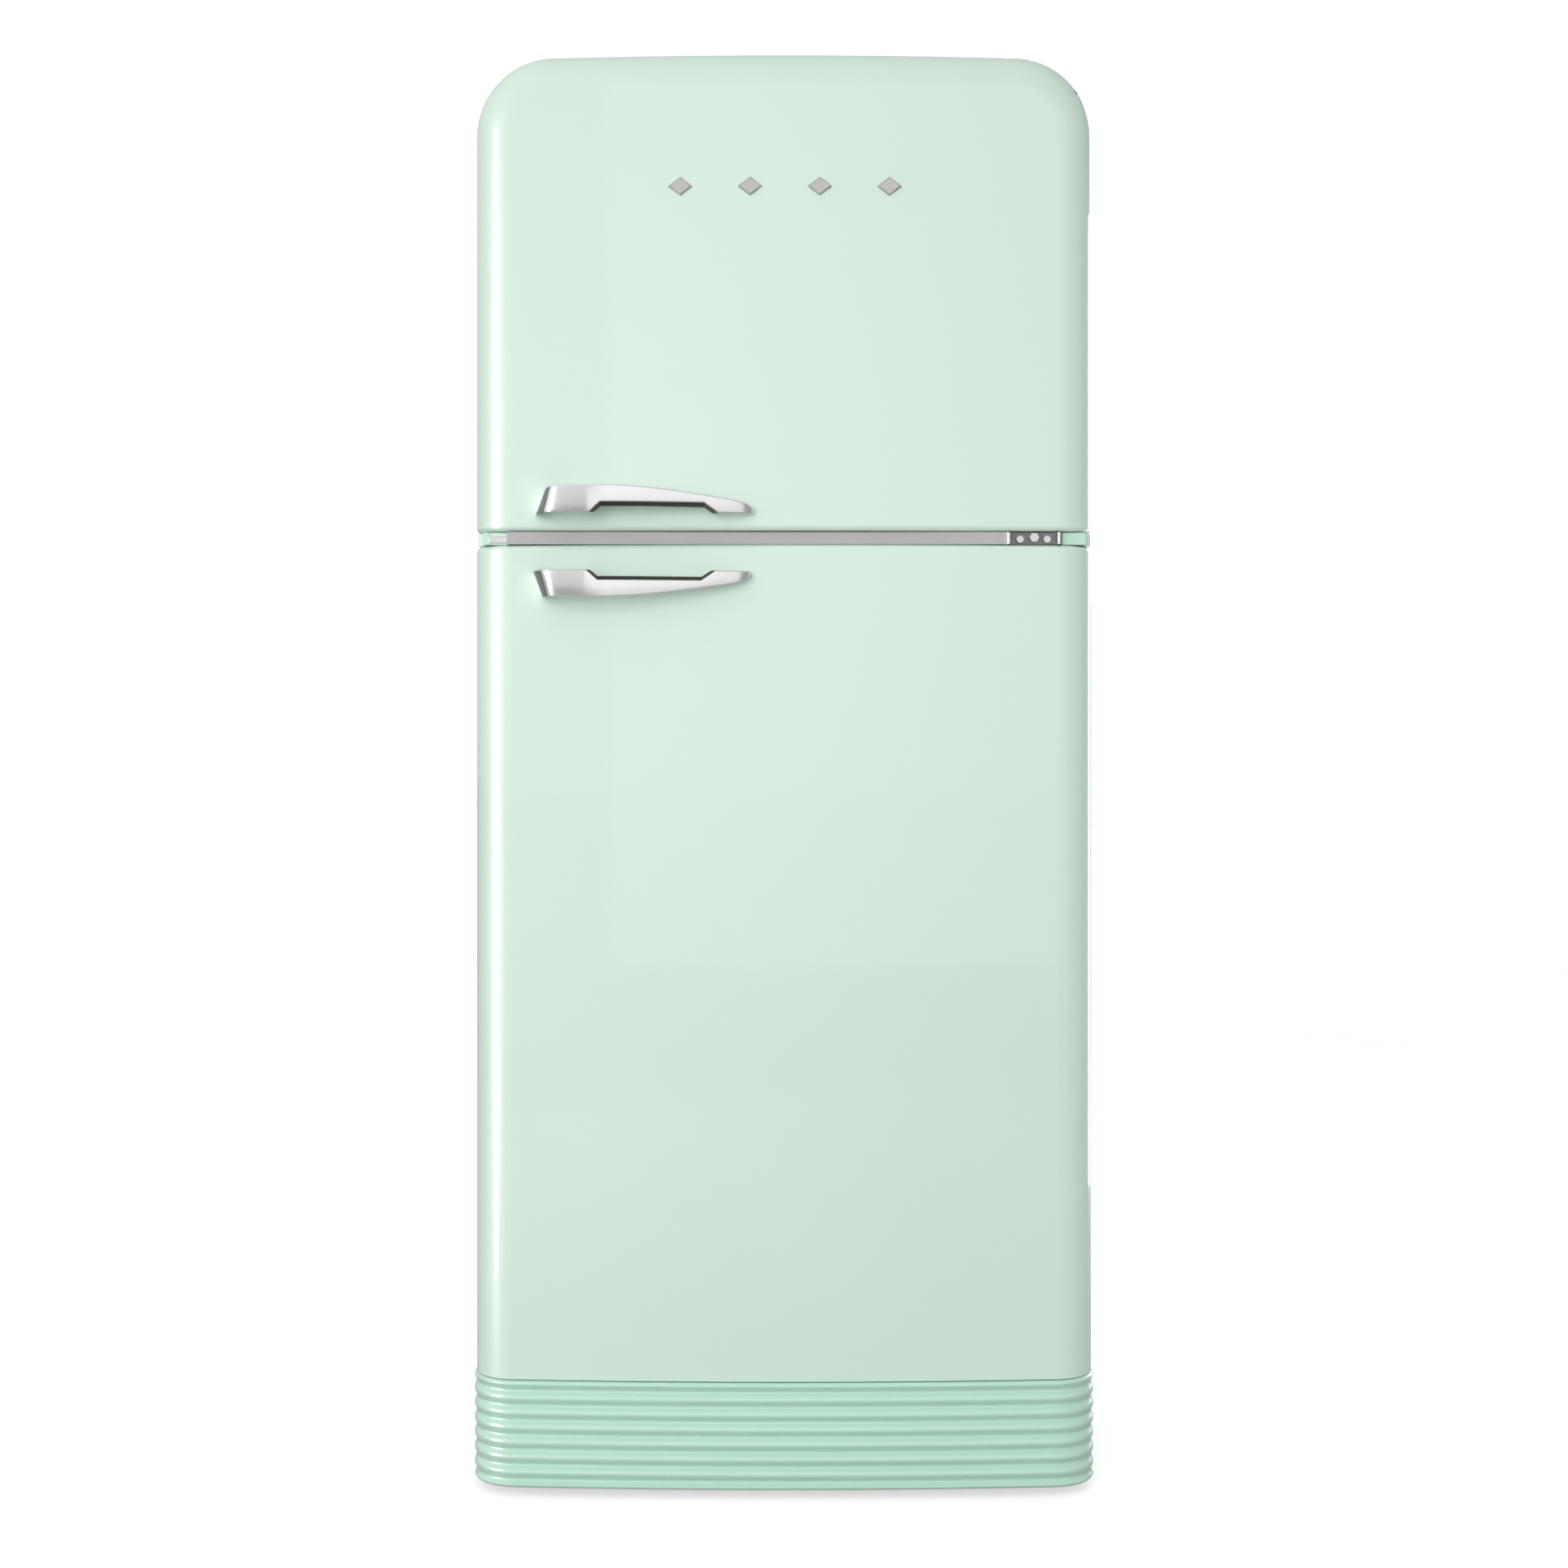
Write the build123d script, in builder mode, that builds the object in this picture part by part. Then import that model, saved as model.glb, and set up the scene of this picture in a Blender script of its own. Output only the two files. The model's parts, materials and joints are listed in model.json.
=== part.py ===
from build123d import *
from math import sqrt
import os

# Retro two-door refrigerator with the freezer on top, hinged on the right.
# Millimetres. +X right, +Y to the back, +Z up, the floor is Z = 0.
os.makedirs("parts", exist_ok=True)

# ---- driving dimensions ----
HEIGHT = 1875
HALF_DEPTH = 407            # handle fronts at -407, rear spacers at +407
SKIRT_HALF = 407
DOOR_HALF = 404             # half width of the doors and of the cabinet
DOOR_FRONT = -357           # middle of the bowed door front
DOOR_REAR = -268
CABINET_FRONT = -254
CABINET_REAR = 395
CABINET_FLOOR = 150
BOW_R = 5260                # the door fronts are bowed in plan
CROWN = 3                   # rise of the top from the corners to the middle
TOP_CORNER_R = 103          # front view
FRONT_EDGE_R = 54           # where the door front turns into its sides and top
REAR_EDGE_R = 20
GAP_EDGE_R = 7              # small edges at the gap between the doors
FOOT_EDGE_R = 1.8           # the fridge door's bottom edge, just above the skirt
SHEET = 1.2                 # steel sheet
LINER = 2                   # inner plastic liners

FREEZER_DOOR = (1249, HEIGHT)     # bottom and top
FRIDGE_DOOR = (150, 1231)
RAIL = (1232, 1248)               # grey rail in the gap between the doors
FLANGE = 22                       # painted edge of the cabinet front

CAVITY_HALF = 326
CAVITY_REAR = 330
CAVITY_R = 20
FREEZER_CAVITY = (1279, 1789)
FRIDGE_CAVITY = (216, 1201)
STEP = (150, 436)                 # the fridge floor steps up over the compressor: from Y, to Z
BAY = (202, 384)                  # compressor bay: from Y, up to Z
BAY_HALF = 374

HINGE_X = 360
HINGE_Y = -303
PIN_R = 5
BUSH_R = 9
RUNNING = 0.05                    # radial clearance of a running fit

GASKET_HALF = 352
GASKET_W = 18
FREEZER_GASKET = (1255, 1815)
FRIDGE_GASKET = (190, 1225)
RIDGE_HALF = 314                  # raised ring on a door's inner liner
RIDGE_W = 30
RIDGE_TOP = -222
FREEZER_RIDGE = (1291, 1777)
FRIDGE_RIDGE = (228, 1189)
LINER_MARGIN = 30                 # door liner stops this far inside the door's edge

SHELF_HALF = 322
LEDGE = 8                         # height and depth of the ledges that carry the shelves
SHELF_T = 4
SHELF_FRONT = -145
FREEZER_SHELF_Z = 1532
FRIDGE_SHELF_Z = (575, 760, 985)
CRISPER_COVER = (438, 444)
DRAWER_FRONT = -120
WALL = 2.5                        # drawer walls
DRAWER_R = 22
NOTCH_H = 22

SKIRT = (12, 149.4)
RIB_PITCH = 19.2
RIB_DEPTH = 6
GROOVE_Z = 22                     # height of the lowest of the grooves
GROOVE_COUNT = 7
SKIRT_FRONT = -363
SKIRT_CORNER_R = 62
SKIRT_REAR = 380

FOOT = (330, -285)                # levelling feet, from the middle
ROLLER = (330, 345, 22)           # rollers: from the middle, Y, radius
FRAME_RAIL = (312, 372)           # X of the side rails of the base frame
FRAME_Z = (60, 138)

BALCONY_FRONT = -176
RAIL_R = 2.5
FREEZER_BALCONIES = ((1425, 1490), (1630, 1695))
BOTTLE_BALCONY = (566, 660)
HALF_BALCONY = (790, 850)
DAIRY_BOX = (965, 1058)
BALCONY_HALF = 282
HALF_BALCONY_LEFT = 8
RAIL_LIFT = 14
FLAP_Y = -261
FLAP_Z = 1065
FLAP_PIN_R = 3
FLAP_T = 2.4
FLAP_H = 38                       # the flap's front hangs this far below its pin

BUSH_L = 30
TOP_ARM_Z = (1822, 1826)          # the top hinge's arm
TOP_ARM_ROOT = (315, 345)
TOP_BRACKET = ((300, 345), (1818, 1840))
SLOT_X = (312, 410)               # the slot in the freezer door that the arm swings in
SLOT_Y = (-320, -267)
SLOT_Z = (1820.5, 1827.5)
BOTTOM_ARM_X = 318
BOTTOM_ARM_REAR = -222
HINGE_T = 5
BRACKET_T = 2.5
TOP_SCREWS = ((308, 337), 1834)
BOTTOM_SCREWS = ((332, 358), -238)

GASKET_R = 30
GASKET_BASE = 7
GASKET_STEP = 3
GASKET_REAR = -254.5

HANDLE_LEFT = -325
HANDLE_L = 279
HANDLE_H = 34
HANDLE_EDGES = (1269, 1195.5)     # the straight edges that face the gap
HANDLE_ROOT = -335                # behind the door's skin
HANDLE_FRONT_LINE = ((0, -346), (5, -378), (22, -401), (70, -407), (150, -401), (215, -387), (279, -366))
FINGER_LINE = ((60, -345), (72, -388), (110, -393.5), (150, -389), (205, -376), (236, -345))
FINGER_DEPTH = 19

BADGE_PITCH = 90
BADGE_Z = 1693
BADGE_HALF = (17, 13)
BADGE_T = 4

RAIL_FRONT = -345
MIDDLE_HINGE_X = (290, 357)
MIDDLE_HINGE_REAR = -262
HINGE_FLANGE = 3                  # the upright edges of the middle hinge's plate
HINGE_RECESS = 8
TONGUE = 9                        # half width of the tongues that carry the hinge pins
END_CAP = (360, 392)              # painted caps that close the ends of the gap
CAP_STEM_HALF = 400
END_CAP_Y = (-332, -314)
PANEL_Y = (252, 256)              # freezer air panel
PANEL_SLITS = (1488, 1745)
SLIT = (18, 6)
SLIT_PITCH = 28
DUCT_Y = (314, CAVITY_REAR)
RACK_Z = 872
ICE_X = (-317, -105)
ICE_Y = (-110, 90)
ICE_Z = (1408, FREEZER_SHELF_Z)
TRAY_Z = 1462
TRAY_SHAFT_R = 8
PANEL_FRONT = (-212, -170)        # control panel
BUTTON_X = (-40, 40)
BUTTON_Z = 1186

EVAPORATOR_Y = (270, 320)
EVAPORATOR_Z = (1300, 1470)
EVAPORATOR_HALF = 225
EVAPORATOR_PITCH = 19
TUBE_R = 4
FIN_T = 1
DUCT_HALF = 110
DUCT_Z = (470, 1185)
DUCT_SLITS = (640, 700, 830, 930, 1050, 1110)
LIGHT_PANEL = ((-120, 120), (-60, 80))
LIGHT_PANEL_T = 8
CONTROL_HALF = 110
CONTROL_BOTTOM = 1171
BUTTON = (10, 6)                  # half width and half height
BUTTON_GAP = 0.3
BUTTON_DEPTH = 9

SKIRT_WALL = 12
SKIRT_TOP_T = 3
GROOVE_H = 6
RIB_EDGE_R = 5.8
TOP_LIP_R = 3
SKIRT_TABS = (-100, 250)          # Y of the tabs that hold the skirt to the base frame
FRAME_FRONT = -310
FRAME_T = 2.5
NUT_T = 12
FORK_HALF = 11.5
BEAMS = (-215, 160)
BEAM_W = 30
COMPRESSOR = (-190, 297)
COMPRESSOR_TOP = 235
COMPRESSOR_FEET = (80, 55)
COMPRESSOR_BASE = (95, 68)
COMPRESSOR_RADII = (78, 66)
DRIP_TRAY = (90, 70, 38)
CONDENSER_X = (62, 255)
CONDENSER_Y = (220, 370)
CONDENSER_PITCH = 11
GRILLE_Y = 391
GRILLE_T = 2
GRILLE_BOTTOM = 35
LOUVRE = (150, 8)
LOUVRE_PITCH = 20
INLET_X = -330
INLET_Z = 340
INLET_HALF = (24, 14)
INLET_SOCKET = (17, 9)
SPACERS = ((-300, 300), (700, 1500))
SPACER_HALF = (20, 40)

FAN_X = 34                        # condenser fan
FAN_Y = 295
FAN_Z = 150
FAN_R = 54
AIR_FAN_Y = 274                   # evaporator fan
AIR_FAN_Z = 1640
AIR_FAN_R = 54
FAN_HUB_R = 14
FAN_HUB_L = 14
FAN_PIN_R = 3


# ---- helpers ----
def block(x, y, z, mode=Mode.ADD):
    """A box between a low and a high value on each axis, in the active part."""
    with Locations(((x[0] + x[1]) / 2, (y[0] + y[1]) / 2, (z[0] + z[1]) / 2)):
        Box(x[1] - x[0], y[1] - y[0], z[1] - z[0], mode=mode)


def upright(x, y, z, radius, mode=Mode.ADD):
    """A vertical cylinder at x, y between two heights."""
    with Locations((x, y, (z[0] + z[1]) / 2)):
        Cylinder(radius, z[1] - z[0], mode=mode)


def rod_along_x(x, y, z, radius, mode=Mode.ADD):
    with Locations(Location(((x[0] + x[1]) / 2, y, z), (0, 90, 0))):
        Cylinder(radius, x[1] - x[0], mode=mode)


def rod_along_y(x, y, z, radius, mode=Mode.ADD):
    with Locations(Location((x, (y[0] + y[1]) / 2, z), (90, 0, 0))):
        Cylinder(radius, y[1] - y[0], mode=mode)


def front_y(x):
    """Y of the bowed door front at x."""
    return DOOR_FRONT + BOW_R - sqrt(BOW_R**2 - x**2)


def outline(y, inset, bottom, side_inset=None):
    """Front outline of the cabinet and the freezer door, drawn inset on the plane Y = y."""
    half = DOOR_HALF - (inset if side_inset is None else side_inset)
    top = HEIGHT - inset
    with BuildSketch(Plane.XZ.offset(-y)) as face:
        with BuildLine():
            Polyline((half, top - CROWN), (half, bottom), (-half, bottom), (-half, top - CROWN))
            ThreePointArc((-half, top - CROWN), (0, top), (half, top - CROWN))
        make_face()
        fillet(face.vertices().group_by(Axis.Y)[-1], TOP_CORNER_R - inset)
    return face.sketch


def window(y, half, z, radius):
    """A round-cornered rectangle centred on X = 0 on the plane Y = y."""
    with BuildSketch(Plane.XZ.offset(-y)) as face:
        with Locations((0, (z[0] + z[1]) / 2)):
            RectangleRounded(2 * half, z[1] - z[0], radius)
    return face.sketch


def ring(y, half, z, width, radius):
    """A round-cornered frame on the plane Y = y: its outer half width and heights, and its width."""
    with BuildSketch(Plane.XZ.offset(-y)) as face:
        with Locations((0, (z[0] + z[1]) / 2)):
            RectangleRounded(2 * half, z[1] - z[0], radius)
            RectangleRounded(
                2 * (half - width), z[1] - z[0] - 2 * width, radius - width / 2, mode=Mode.SUBTRACT
            )
    return face.sketch


def door_plan(z, inset):
    """Door seen from above: flat back and sides, bowed front."""
    half = DOOR_HALF - inset
    side = front_y(half) + inset
    rear = DOOR_REAR - inset
    with BuildSketch(Plane.XY.offset(z)) as face:
        with BuildLine():
            Polyline((-half, side), (-half, rear), (half, rear), (half, side))
            ThreePointArc((half, side), (0, DOOR_FRONT + inset), (-half, side))
        make_face()
    return face.sketch


def door_block(z, inset, domed):
    """The closed shape of a door, inset by a sheet's thickness for what is inside its skin."""
    bottom_edge_r = GAP_EDGE_R if domed else FOOT_EDGE_R
    bottom = z[0] + inset
    top = z[1] - inset
    rear = DOOR_REAR - inset
    with BuildPart() as slab:
        extrude(door_plan(bottom, inset), amount=top - bottom + (CROWN if domed else 0))
        if domed:
            face = outline(rear, inset, bottom)
            extrude(face, amount=rear - DOOR_FRONT + CROWN, mode=Mode.INTERSECT)
            chain = lambda edge: edge.center().Z > bottom + 1
        else:
            chain = lambda edge: bottom + 1 < edge.center().Z < top - 1
        front_face = slab.faces().sort_by(Axis.Y)[0]
        fillet(front_face.edges().filter_by(chain), FRONT_EDGE_R - inset)
        rear_face = slab.faces().sort_by(Axis.Y)[-1]
        fillet(rear_face.edges().filter_by(chain), REAR_EDGE_R - inset)
        fillet(slab.faces().sort_by(Axis.Z)[0].edges(), bottom_edge_r - inset)
        if not domed:
            fillet(slab.faces().sort_by(Axis.Z)[-1].edges(), GAP_EDGE_R - inset)
    return slab.part


def liner_face(y, z, domed):
    """The flat face of a door's inner liner, on the plane Y = y."""
    if domed:
        return outline(y, LINER_MARGIN, z[0] + LINER_MARGIN)
    return window(
        y, DOOR_HALF - LINER_MARGIN, (z[0] + LINER_MARGIN, z[1] - LINER_MARGIN), GAP_EDGE_R
    )


def ridge_block(z, inset):
    """The raised ring on a door's liner, or inset, the foam that fills it."""
    start = DOOR_REAR - LINER
    end = RIDGE_TOP - inset
    half = RIDGE_HALF - inset
    with BuildPart() as raised:
        face = ring(start, half, (z[0] + inset, z[1] - inset), RIDGE_W - 2 * inset, 20 - inset)
        extrude(face, amount=start - end)
        fillet(raised.faces().sort_by(Axis.Y)[-1].edges(), 8 - inset)
    return raised.part


def cavity(z, grow, front):
    """The inside of a compartment, or grown by the liner's thickness, the hollow in the foam."""
    with BuildPart() as hollow:
        face = window(front, CAVITY_HALF + grow, (z[0] - grow, z[1] + grow), CAVITY_R + grow)
        extrude(face, amount=front - CAVITY_REAR - grow)
        if z == FRIDGE_CAVITY:
            block((-400, 400), (STEP[0] + grow, 400), (z[0] - 10, STEP[1] - grow), Mode.SUBTRACT)
    return hollow.part


def ledges(z, y):
    """A pair of ledges on the liner's side walls, under a shelf at height z."""
    for side in (-1, 1):
        edge = sorted((side * (CAVITY_HALF - LEDGE), side * (CAVITY_HALF + LINER / 2)))
        block(edge, y, (z - LEDGE, z))


def drawer(x, y, z, notch):
    """An open-topped drawer, round along its bottom, with a finger notch in the top of its front."""
    with BuildPart() as box:
        block(x, y, z)
        fillet(box.edges().filter_by(Axis.Y).group_by(Axis.Z)[0], DRAWER_R)
        offset(amount=-WALL, openings=box.faces().sort_by(Axis.Z)[-1])
        middle = (x[0] + x[1]) / 2
        notch_x = (middle - notch, middle + notch)
        block(notch_x, (y[0] - 1, y[0] + WALL + 1), (z[1] - NOTCH_H, z[1] + 1), Mode.SUBTRACT)
    return box


def balcony(x, z):
    """An open-topped door shelf."""
    block(x, (DOOR_REAR, BALCONY_FRONT), z)
    inside = (DOOR_REAR + WALL, BALCONY_FRONT - WALL)
    block((x[0] + WALL, x[1] - WALL), inside, (z[0] + WALL, z[1] + 1), Mode.SUBTRACT)


def balcony_rail(x, z):
    """A round rail above a door shelf: across the front and back to the door liner on both sides."""
    front = BALCONY_FRONT - RAIL_R
    rod_along_x(x, front, z, RAIL_R)
    for end in x:
        rod_along_y(end, (DOOR_REAR, front), z, RAIL_R)
        with Locations((end, front, z)):
            Sphere(RAIL_R)


def skirt_slab(z, inset, edge):
    """The skirt's plan between two heights, drawn inset, with its top and bottom edges rounded."""
    half = SKIRT_HALF - inset
    front = SKIRT_FRONT + inset
    side = front + front_y(half) - DOOR_FRONT
    with BuildPart() as slab:
        with BuildSketch(Plane.XY.offset(z[0])) as plan:
            with BuildLine():
                Polyline((-half, side), (-half, SKIRT_REAR), (half, SKIRT_REAR), (half, side))
                ThreePointArc((half, side), (0, front), (-half, side))
            make_face()
            fillet(plan.vertices().filter_by(lambda v: v.Y < 0), SKIRT_CORNER_R - inset)
        extrude(amount=z[1] - z[0])
        if edge:
            for face in (slab.faces().sort_by(Axis.Z)[0], slab.faces().sort_by(Axis.Z)[-1]):
                fillet(face.edges().filter_by(lambda e: e.center().Y < SKIRT_REAR - 1), edge)
    return slab.part


def fan_wheel(centre, axis, radius):
    """An axial fan with five blades and a bore for its motor pin."""
    with Locations(Plane(centre, z_dir=axis)):
        Cylinder(FAN_HUB_R, FAN_HUB_L)
        with PolarLocations((radius + FAN_HUB_R) / 2 - 1, 5):
            Box(radius - FAN_HUB_R + 2, 26, 2, rotation=(32, 0, 0))
        Cylinder(FAN_PIN_R + RUNNING, 2 * FAN_HUB_L, mode=Mode.SUBTRACT)


def guard_face(plane, radius):
    """Rings and spokes across a fan opening, with a hub in the middle."""
    with BuildSketch(plane) as face:
        for share in (1, 0.78, 0.56):
            Circle(share * radius + 1)
            Circle(share * radius - 1, mode=Mode.SUBTRACT)
        Circle(FAN_HUB_R)
        with PolarLocations((radius + FAN_HUB_R) / 2 - 1, 6):
            Rectangle(radius - FAN_HUB_R + 2, 3)
    return face.sketch


def save(builder, name):
    """Labels a finished piece and writes its STEP file."""
    builder.part.label = name
    export_step(builder.part, f"parts/{name}.step")


# ---- doors ----
# name, bottom and top, liner ridge, gasket, tops of the two hinge bushes, domed top
DOORS = (
    ("freezer", FREEZER_DOOR, FREEZER_RIDGE, FREEZER_GASKET, (FREEZER_DOOR[0] + BUSH_L, SLOT_Z[0]), True),
    ("fridge", FRIDGE_DOOR, FRIDGE_RIDGE, FRIDGE_GASKET, (FRIDGE_DOOR[0] + BUSH_L, FRIDGE_DOOR[1]), False),
)
closed_shapes = {}

for name, z, ridge, gasket, bush_tops, domed in DOORS:
    outer = door_block(z, 0, domed)
    inner = door_block(z, SHEET, domed)
    closed_shapes[name] = outer
    foam_ridge = ridge_block(ridge, LINER)

    with BuildPart() as door_skin:
        add(outer)
        add(inner, mode=Mode.SUBTRACT)
        extrude(liner_face(DOOR_REAR, z, domed), amount=SHEET, mode=Mode.SUBTRACT)
        for top in bush_tops:
            upright(HINGE_X, HINGE_Y, (top - BUSH_L, top), BUSH_R, Mode.SUBTRACT)
        block(SLOT_X, SLOT_Y, SLOT_Z, Mode.SUBTRACT)
    save(door_skin, f"{name}_door_skin")

    with BuildPart() as door_foam:
        add(inner)
        extrude(liner_face(DOOR_REAR, z, domed), amount=LINER, mode=Mode.SUBTRACT)
        add(foam_ridge)
        for top in bush_tops:
            upright(HINGE_X, HINGE_Y, (top - BUSH_L, top), BUSH_R, Mode.SUBTRACT)
        block(SLOT_X, SLOT_Y, SLOT_Z, Mode.SUBTRACT)
    save(door_foam, f"{name}_door_insulation")

    with BuildPart() as door_liner:
        extrude(liner_face(DOOR_REAR, z, domed), amount=LINER)
        add(ridge_block(ridge, 0))
        add(foam_ridge, mode=Mode.SUBTRACT)
        block(SLOT_X, SLOT_Y, SLOT_Z, Mode.SUBTRACT)
    save(door_liner, f"{name}_door_liner")

    with BuildPart() as door_gasket:
        extrude(ring(DOOR_REAR, GASKET_HALF, gasket, GASKET_W, GASKET_R), amount=-GASKET_BASE)
        bulb = (gasket[0] + GASKET_STEP, gasket[1] - GASKET_STEP)
        face = ring(
            DOOR_REAR + GASKET_BASE, GASKET_HALF - GASKET_STEP, bulb,
            GASKET_W - 2 * GASKET_STEP, GASKET_R - GASKET_STEP,
        )
        extrude(face, amount=DOOR_REAR + GASKET_BASE - GASKET_REAR)
        fillet(door_gasket.faces().sort_by(Axis.Y)[-1].edges(), 2)
    save(door_gasket, f"{name}_gasket")

    with BuildPart() as bushes:
        for top in bush_tops:
            upright(HINGE_X, HINGE_Y, (top - BUSH_L, top), BUSH_R)
            upright(HINGE_X, HINGE_Y, (top - BUSH_L - 1, top + 1), PIN_R + RUNNING, Mode.SUBTRACT)
    save(bushes, f"{name}_hinge_bushes")

# ---- handles: a wing-shaped grip, deep at its left end, with a finger gap behind it ----
# along the handle from its left end, and up from its straight edge
for name, edge_z, up in (("freezer", HANDLE_EDGES[0], 1), ("fridge", HANDLE_EDGES[1], -1)):

    def at(u, v):
        return (HANDLE_LEFT + u, edge_z + up * v)

    with BuildPart() as handle:
        with BuildSketch(Plane.XY.offset(edge_z - HANDLE_H - 1)):
            with BuildLine():
                Spline(*[(HANDLE_LEFT + u, y) for u, y in HANDLE_FRONT_LINE])
                Polyline(
                    (HANDLE_LEFT + HANDLE_L, HANDLE_FRONT_LINE[-1][1]),
                    (HANDLE_LEFT + HANDLE_L, HANDLE_ROOT),
                    (HANDLE_LEFT, HANDLE_ROOT),
                    (HANDLE_LEFT, HANDLE_FRONT_LINE[0][1]),
                )
            make_face()
        extrude(amount=2 * HANDLE_H + 2)
        with BuildSketch(Plane.XZ.offset(-HANDLE_ROOT)):
            with BuildLine():
                Polyline(
                    at(248, 17.5), at(274, 9), at(266, 0), at(226, 0), at(211, 12.5),
                    at(81, 12.5), at(66, 0), at(3, 0), at(0, 3), at(13, 30), at(20, 34), at(110, 34),
                )
                Spline(at(110, 34), at(180, 28), at(248, 17.5), tangents=((1, 0), (1, -0.28 * up)))
            make_face()
        extrude(amount=HANDLE_ROOT + HALF_DEPTH, mode=Mode.INTERSECT)
        with BuildSketch(Plane.XY.offset(edge_z - 1 if up > 0 else edge_z - FINGER_DEPTH)):
            with BuildLine():
                Spline(*[(HANDLE_LEFT + u, y) for u, y in FINGER_LINE])
                Polyline(
                    (HANDLE_LEFT + FINGER_LINE[-1][0], FINGER_LINE[-1][1]),
                    (HANDLE_LEFT + FINGER_LINE[-1][0], HANDLE_ROOT),
                    (HANDLE_LEFT + FINGER_LINE[0][0], HANDLE_ROOT),
                    (HANDLE_LEFT + FINGER_LINE[0][0], FINGER_LINE[0][1]),
                )
            make_face()
        extrude(amount=FINGER_DEPTH + 1, mode=Mode.SUBTRACT)
        add(closed_shapes[name], mode=Mode.SUBTRACT)
    save(handle, f"{name}_handle")

# ---- badge: four bevelled lozenges in a row ----
with BuildPart() as badge:
    for place in range(4):
        x = (place - 1.5) * BADGE_PITCH
        with BuildSketch(Plane.XZ.offset(-front_y(x) - 1)):
            with Locations((x, BADGE_Z)):
                Polygon((-BADGE_HALF[0], 0), (0, -BADGE_HALF[1]), (BADGE_HALF[0], 0), (0, BADGE_HALF[1]))
        extrude(amount=BADGE_T + 1, taper=25)
    add(closed_shapes["freezer"], mode=Mode.SUBTRACT)
save(badge, "badge")

# ---- door shelves ----
wide = (-BALCONY_HALF, BALCONY_HALF)
right_half = (HALF_BALCONY_LEFT, BALCONY_HALF)
with BuildPart() as freezer_balconies:
    for z in FREEZER_BALCONIES:
        balcony(wide, z)
save(freezer_balconies, "freezer_balconies")

with BuildPart() as freezer_balcony_rails:
    for z in FREEZER_BALCONIES:
        balcony_rail((-BALCONY_HALF + RAIL_R, BALCONY_HALF - RAIL_R), z[1] + RAIL_LIFT)
save(freezer_balcony_rails, "freezer_balcony_rails")

with BuildPart() as fridge_balconies:
    balcony(wide, BOTTLE_BALCONY)
    balcony(right_half, HALF_BALCONY)
    balcony(wide, DAIRY_BOX)
    for side in (-1, 1):
        edge = sorted((side * BALCONY_HALF, side * (BALCONY_HALF - WALL)))
        block(edge, (DOOR_REAR, FLAP_Y + 6), (DAIRY_BOX[1], FLAP_Z + 6))
    rod_along_x((-BALCONY_HALF - 1, BALCONY_HALF + 1), FLAP_Y, FLAP_Z, FLAP_PIN_R + RUNNING, Mode.SUBTRACT)
save(fridge_balconies, "fridge_balconies")

with BuildPart() as fridge_balcony_rails:
    balcony_rail((-BALCONY_HALF + RAIL_R, BALCONY_HALF - RAIL_R), BOTTLE_BALCONY[1] + RAIL_LIFT)
    balcony_rail((right_half[0] + RAIL_R, BALCONY_HALF - RAIL_R), HALF_BALCONY[1] + RAIL_LIFT)
save(fridge_balcony_rails, "fridge_balcony_rails")

flap_half = BALCONY_HALF - WALL - 1.5
flap_front = BALCONY_FRONT + 3
with BuildPart() as dairy_flap:
    rod_along_x((-BALCONY_HALF, BALCONY_HALF), FLAP_Y, FLAP_Z, FLAP_PIN_R)
    flap_top = FLAP_Z + FLAP_T / 2
    block((-flap_half, flap_half), (FLAP_Y, flap_front), (flap_top - FLAP_T, flap_top))
    block((-BALCONY_HALF, BALCONY_HALF), (flap_front - FLAP_T, flap_front), (FLAP_Z - FLAP_H, flap_top))
save(dairy_flap, "dairy_flap")

# ---- cabinet ----
depth = CABINET_REAR - CABINET_FRONT
with BuildPart() as outer_shell:
    extrude(outline(CABINET_FRONT, 0, CABINET_FLOOR), amount=-depth)
    front_edges = outer_shell.faces().sort_by(Axis.Y)[0].edges()
    fillet(front_edges.filter_by(lambda edge: edge.center().Z > CABINET_FLOOR + 1), 3)
    extrude(outline(CABINET_FRONT + SHEET, SHEET, CABINET_FLOOR - 1), amount=-depth, mode=Mode.SUBTRACT)
    extrude(outline(CABINET_FRONT, FLANGE, CABINET_FLOOR + FLANGE), amount=-SHEET, mode=Mode.SUBTRACT)
    for side in (-1, 1):
        cap = sorted(side * x for x in END_CAP)
        block(cap, END_CAP_Y, RAIL)
        stem = sorted((side * (HINGE_X + TONGUE + 3), side * CAP_STEM_HALF))
        block(stem, (END_CAP_Y[1], CABINET_FRONT + SHEET), RAIL)
save(outer_shell, "outer_shell")

with BuildPart() as back_panel:
    extrude(outline(CABINET_REAR, SHEET, BAY[1]), amount=SHEET)
save(back_panel, "back_panel")

foam_front = CABINET_FRONT + SHEET
with BuildPart() as cabinet_insulation:
    extrude(outline(foam_front, SHEET + 2, CABINET_FLOOR), amount=-(depth - 2 * SHEET))
    block((-BAY_HALF, BAY_HALF), (BAY[0], 400), (CABINET_FLOOR - 1, BAY[1]), Mode.SUBTRACT)
    add(cavity(FREEZER_CAVITY, LINER, foam_front), mode=Mode.SUBTRACT)
    add(cavity(FRIDGE_CAVITY, LINER, foam_front), mode=Mode.SUBTRACT)
save(cabinet_insulation, "cabinet_insulation")

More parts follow.
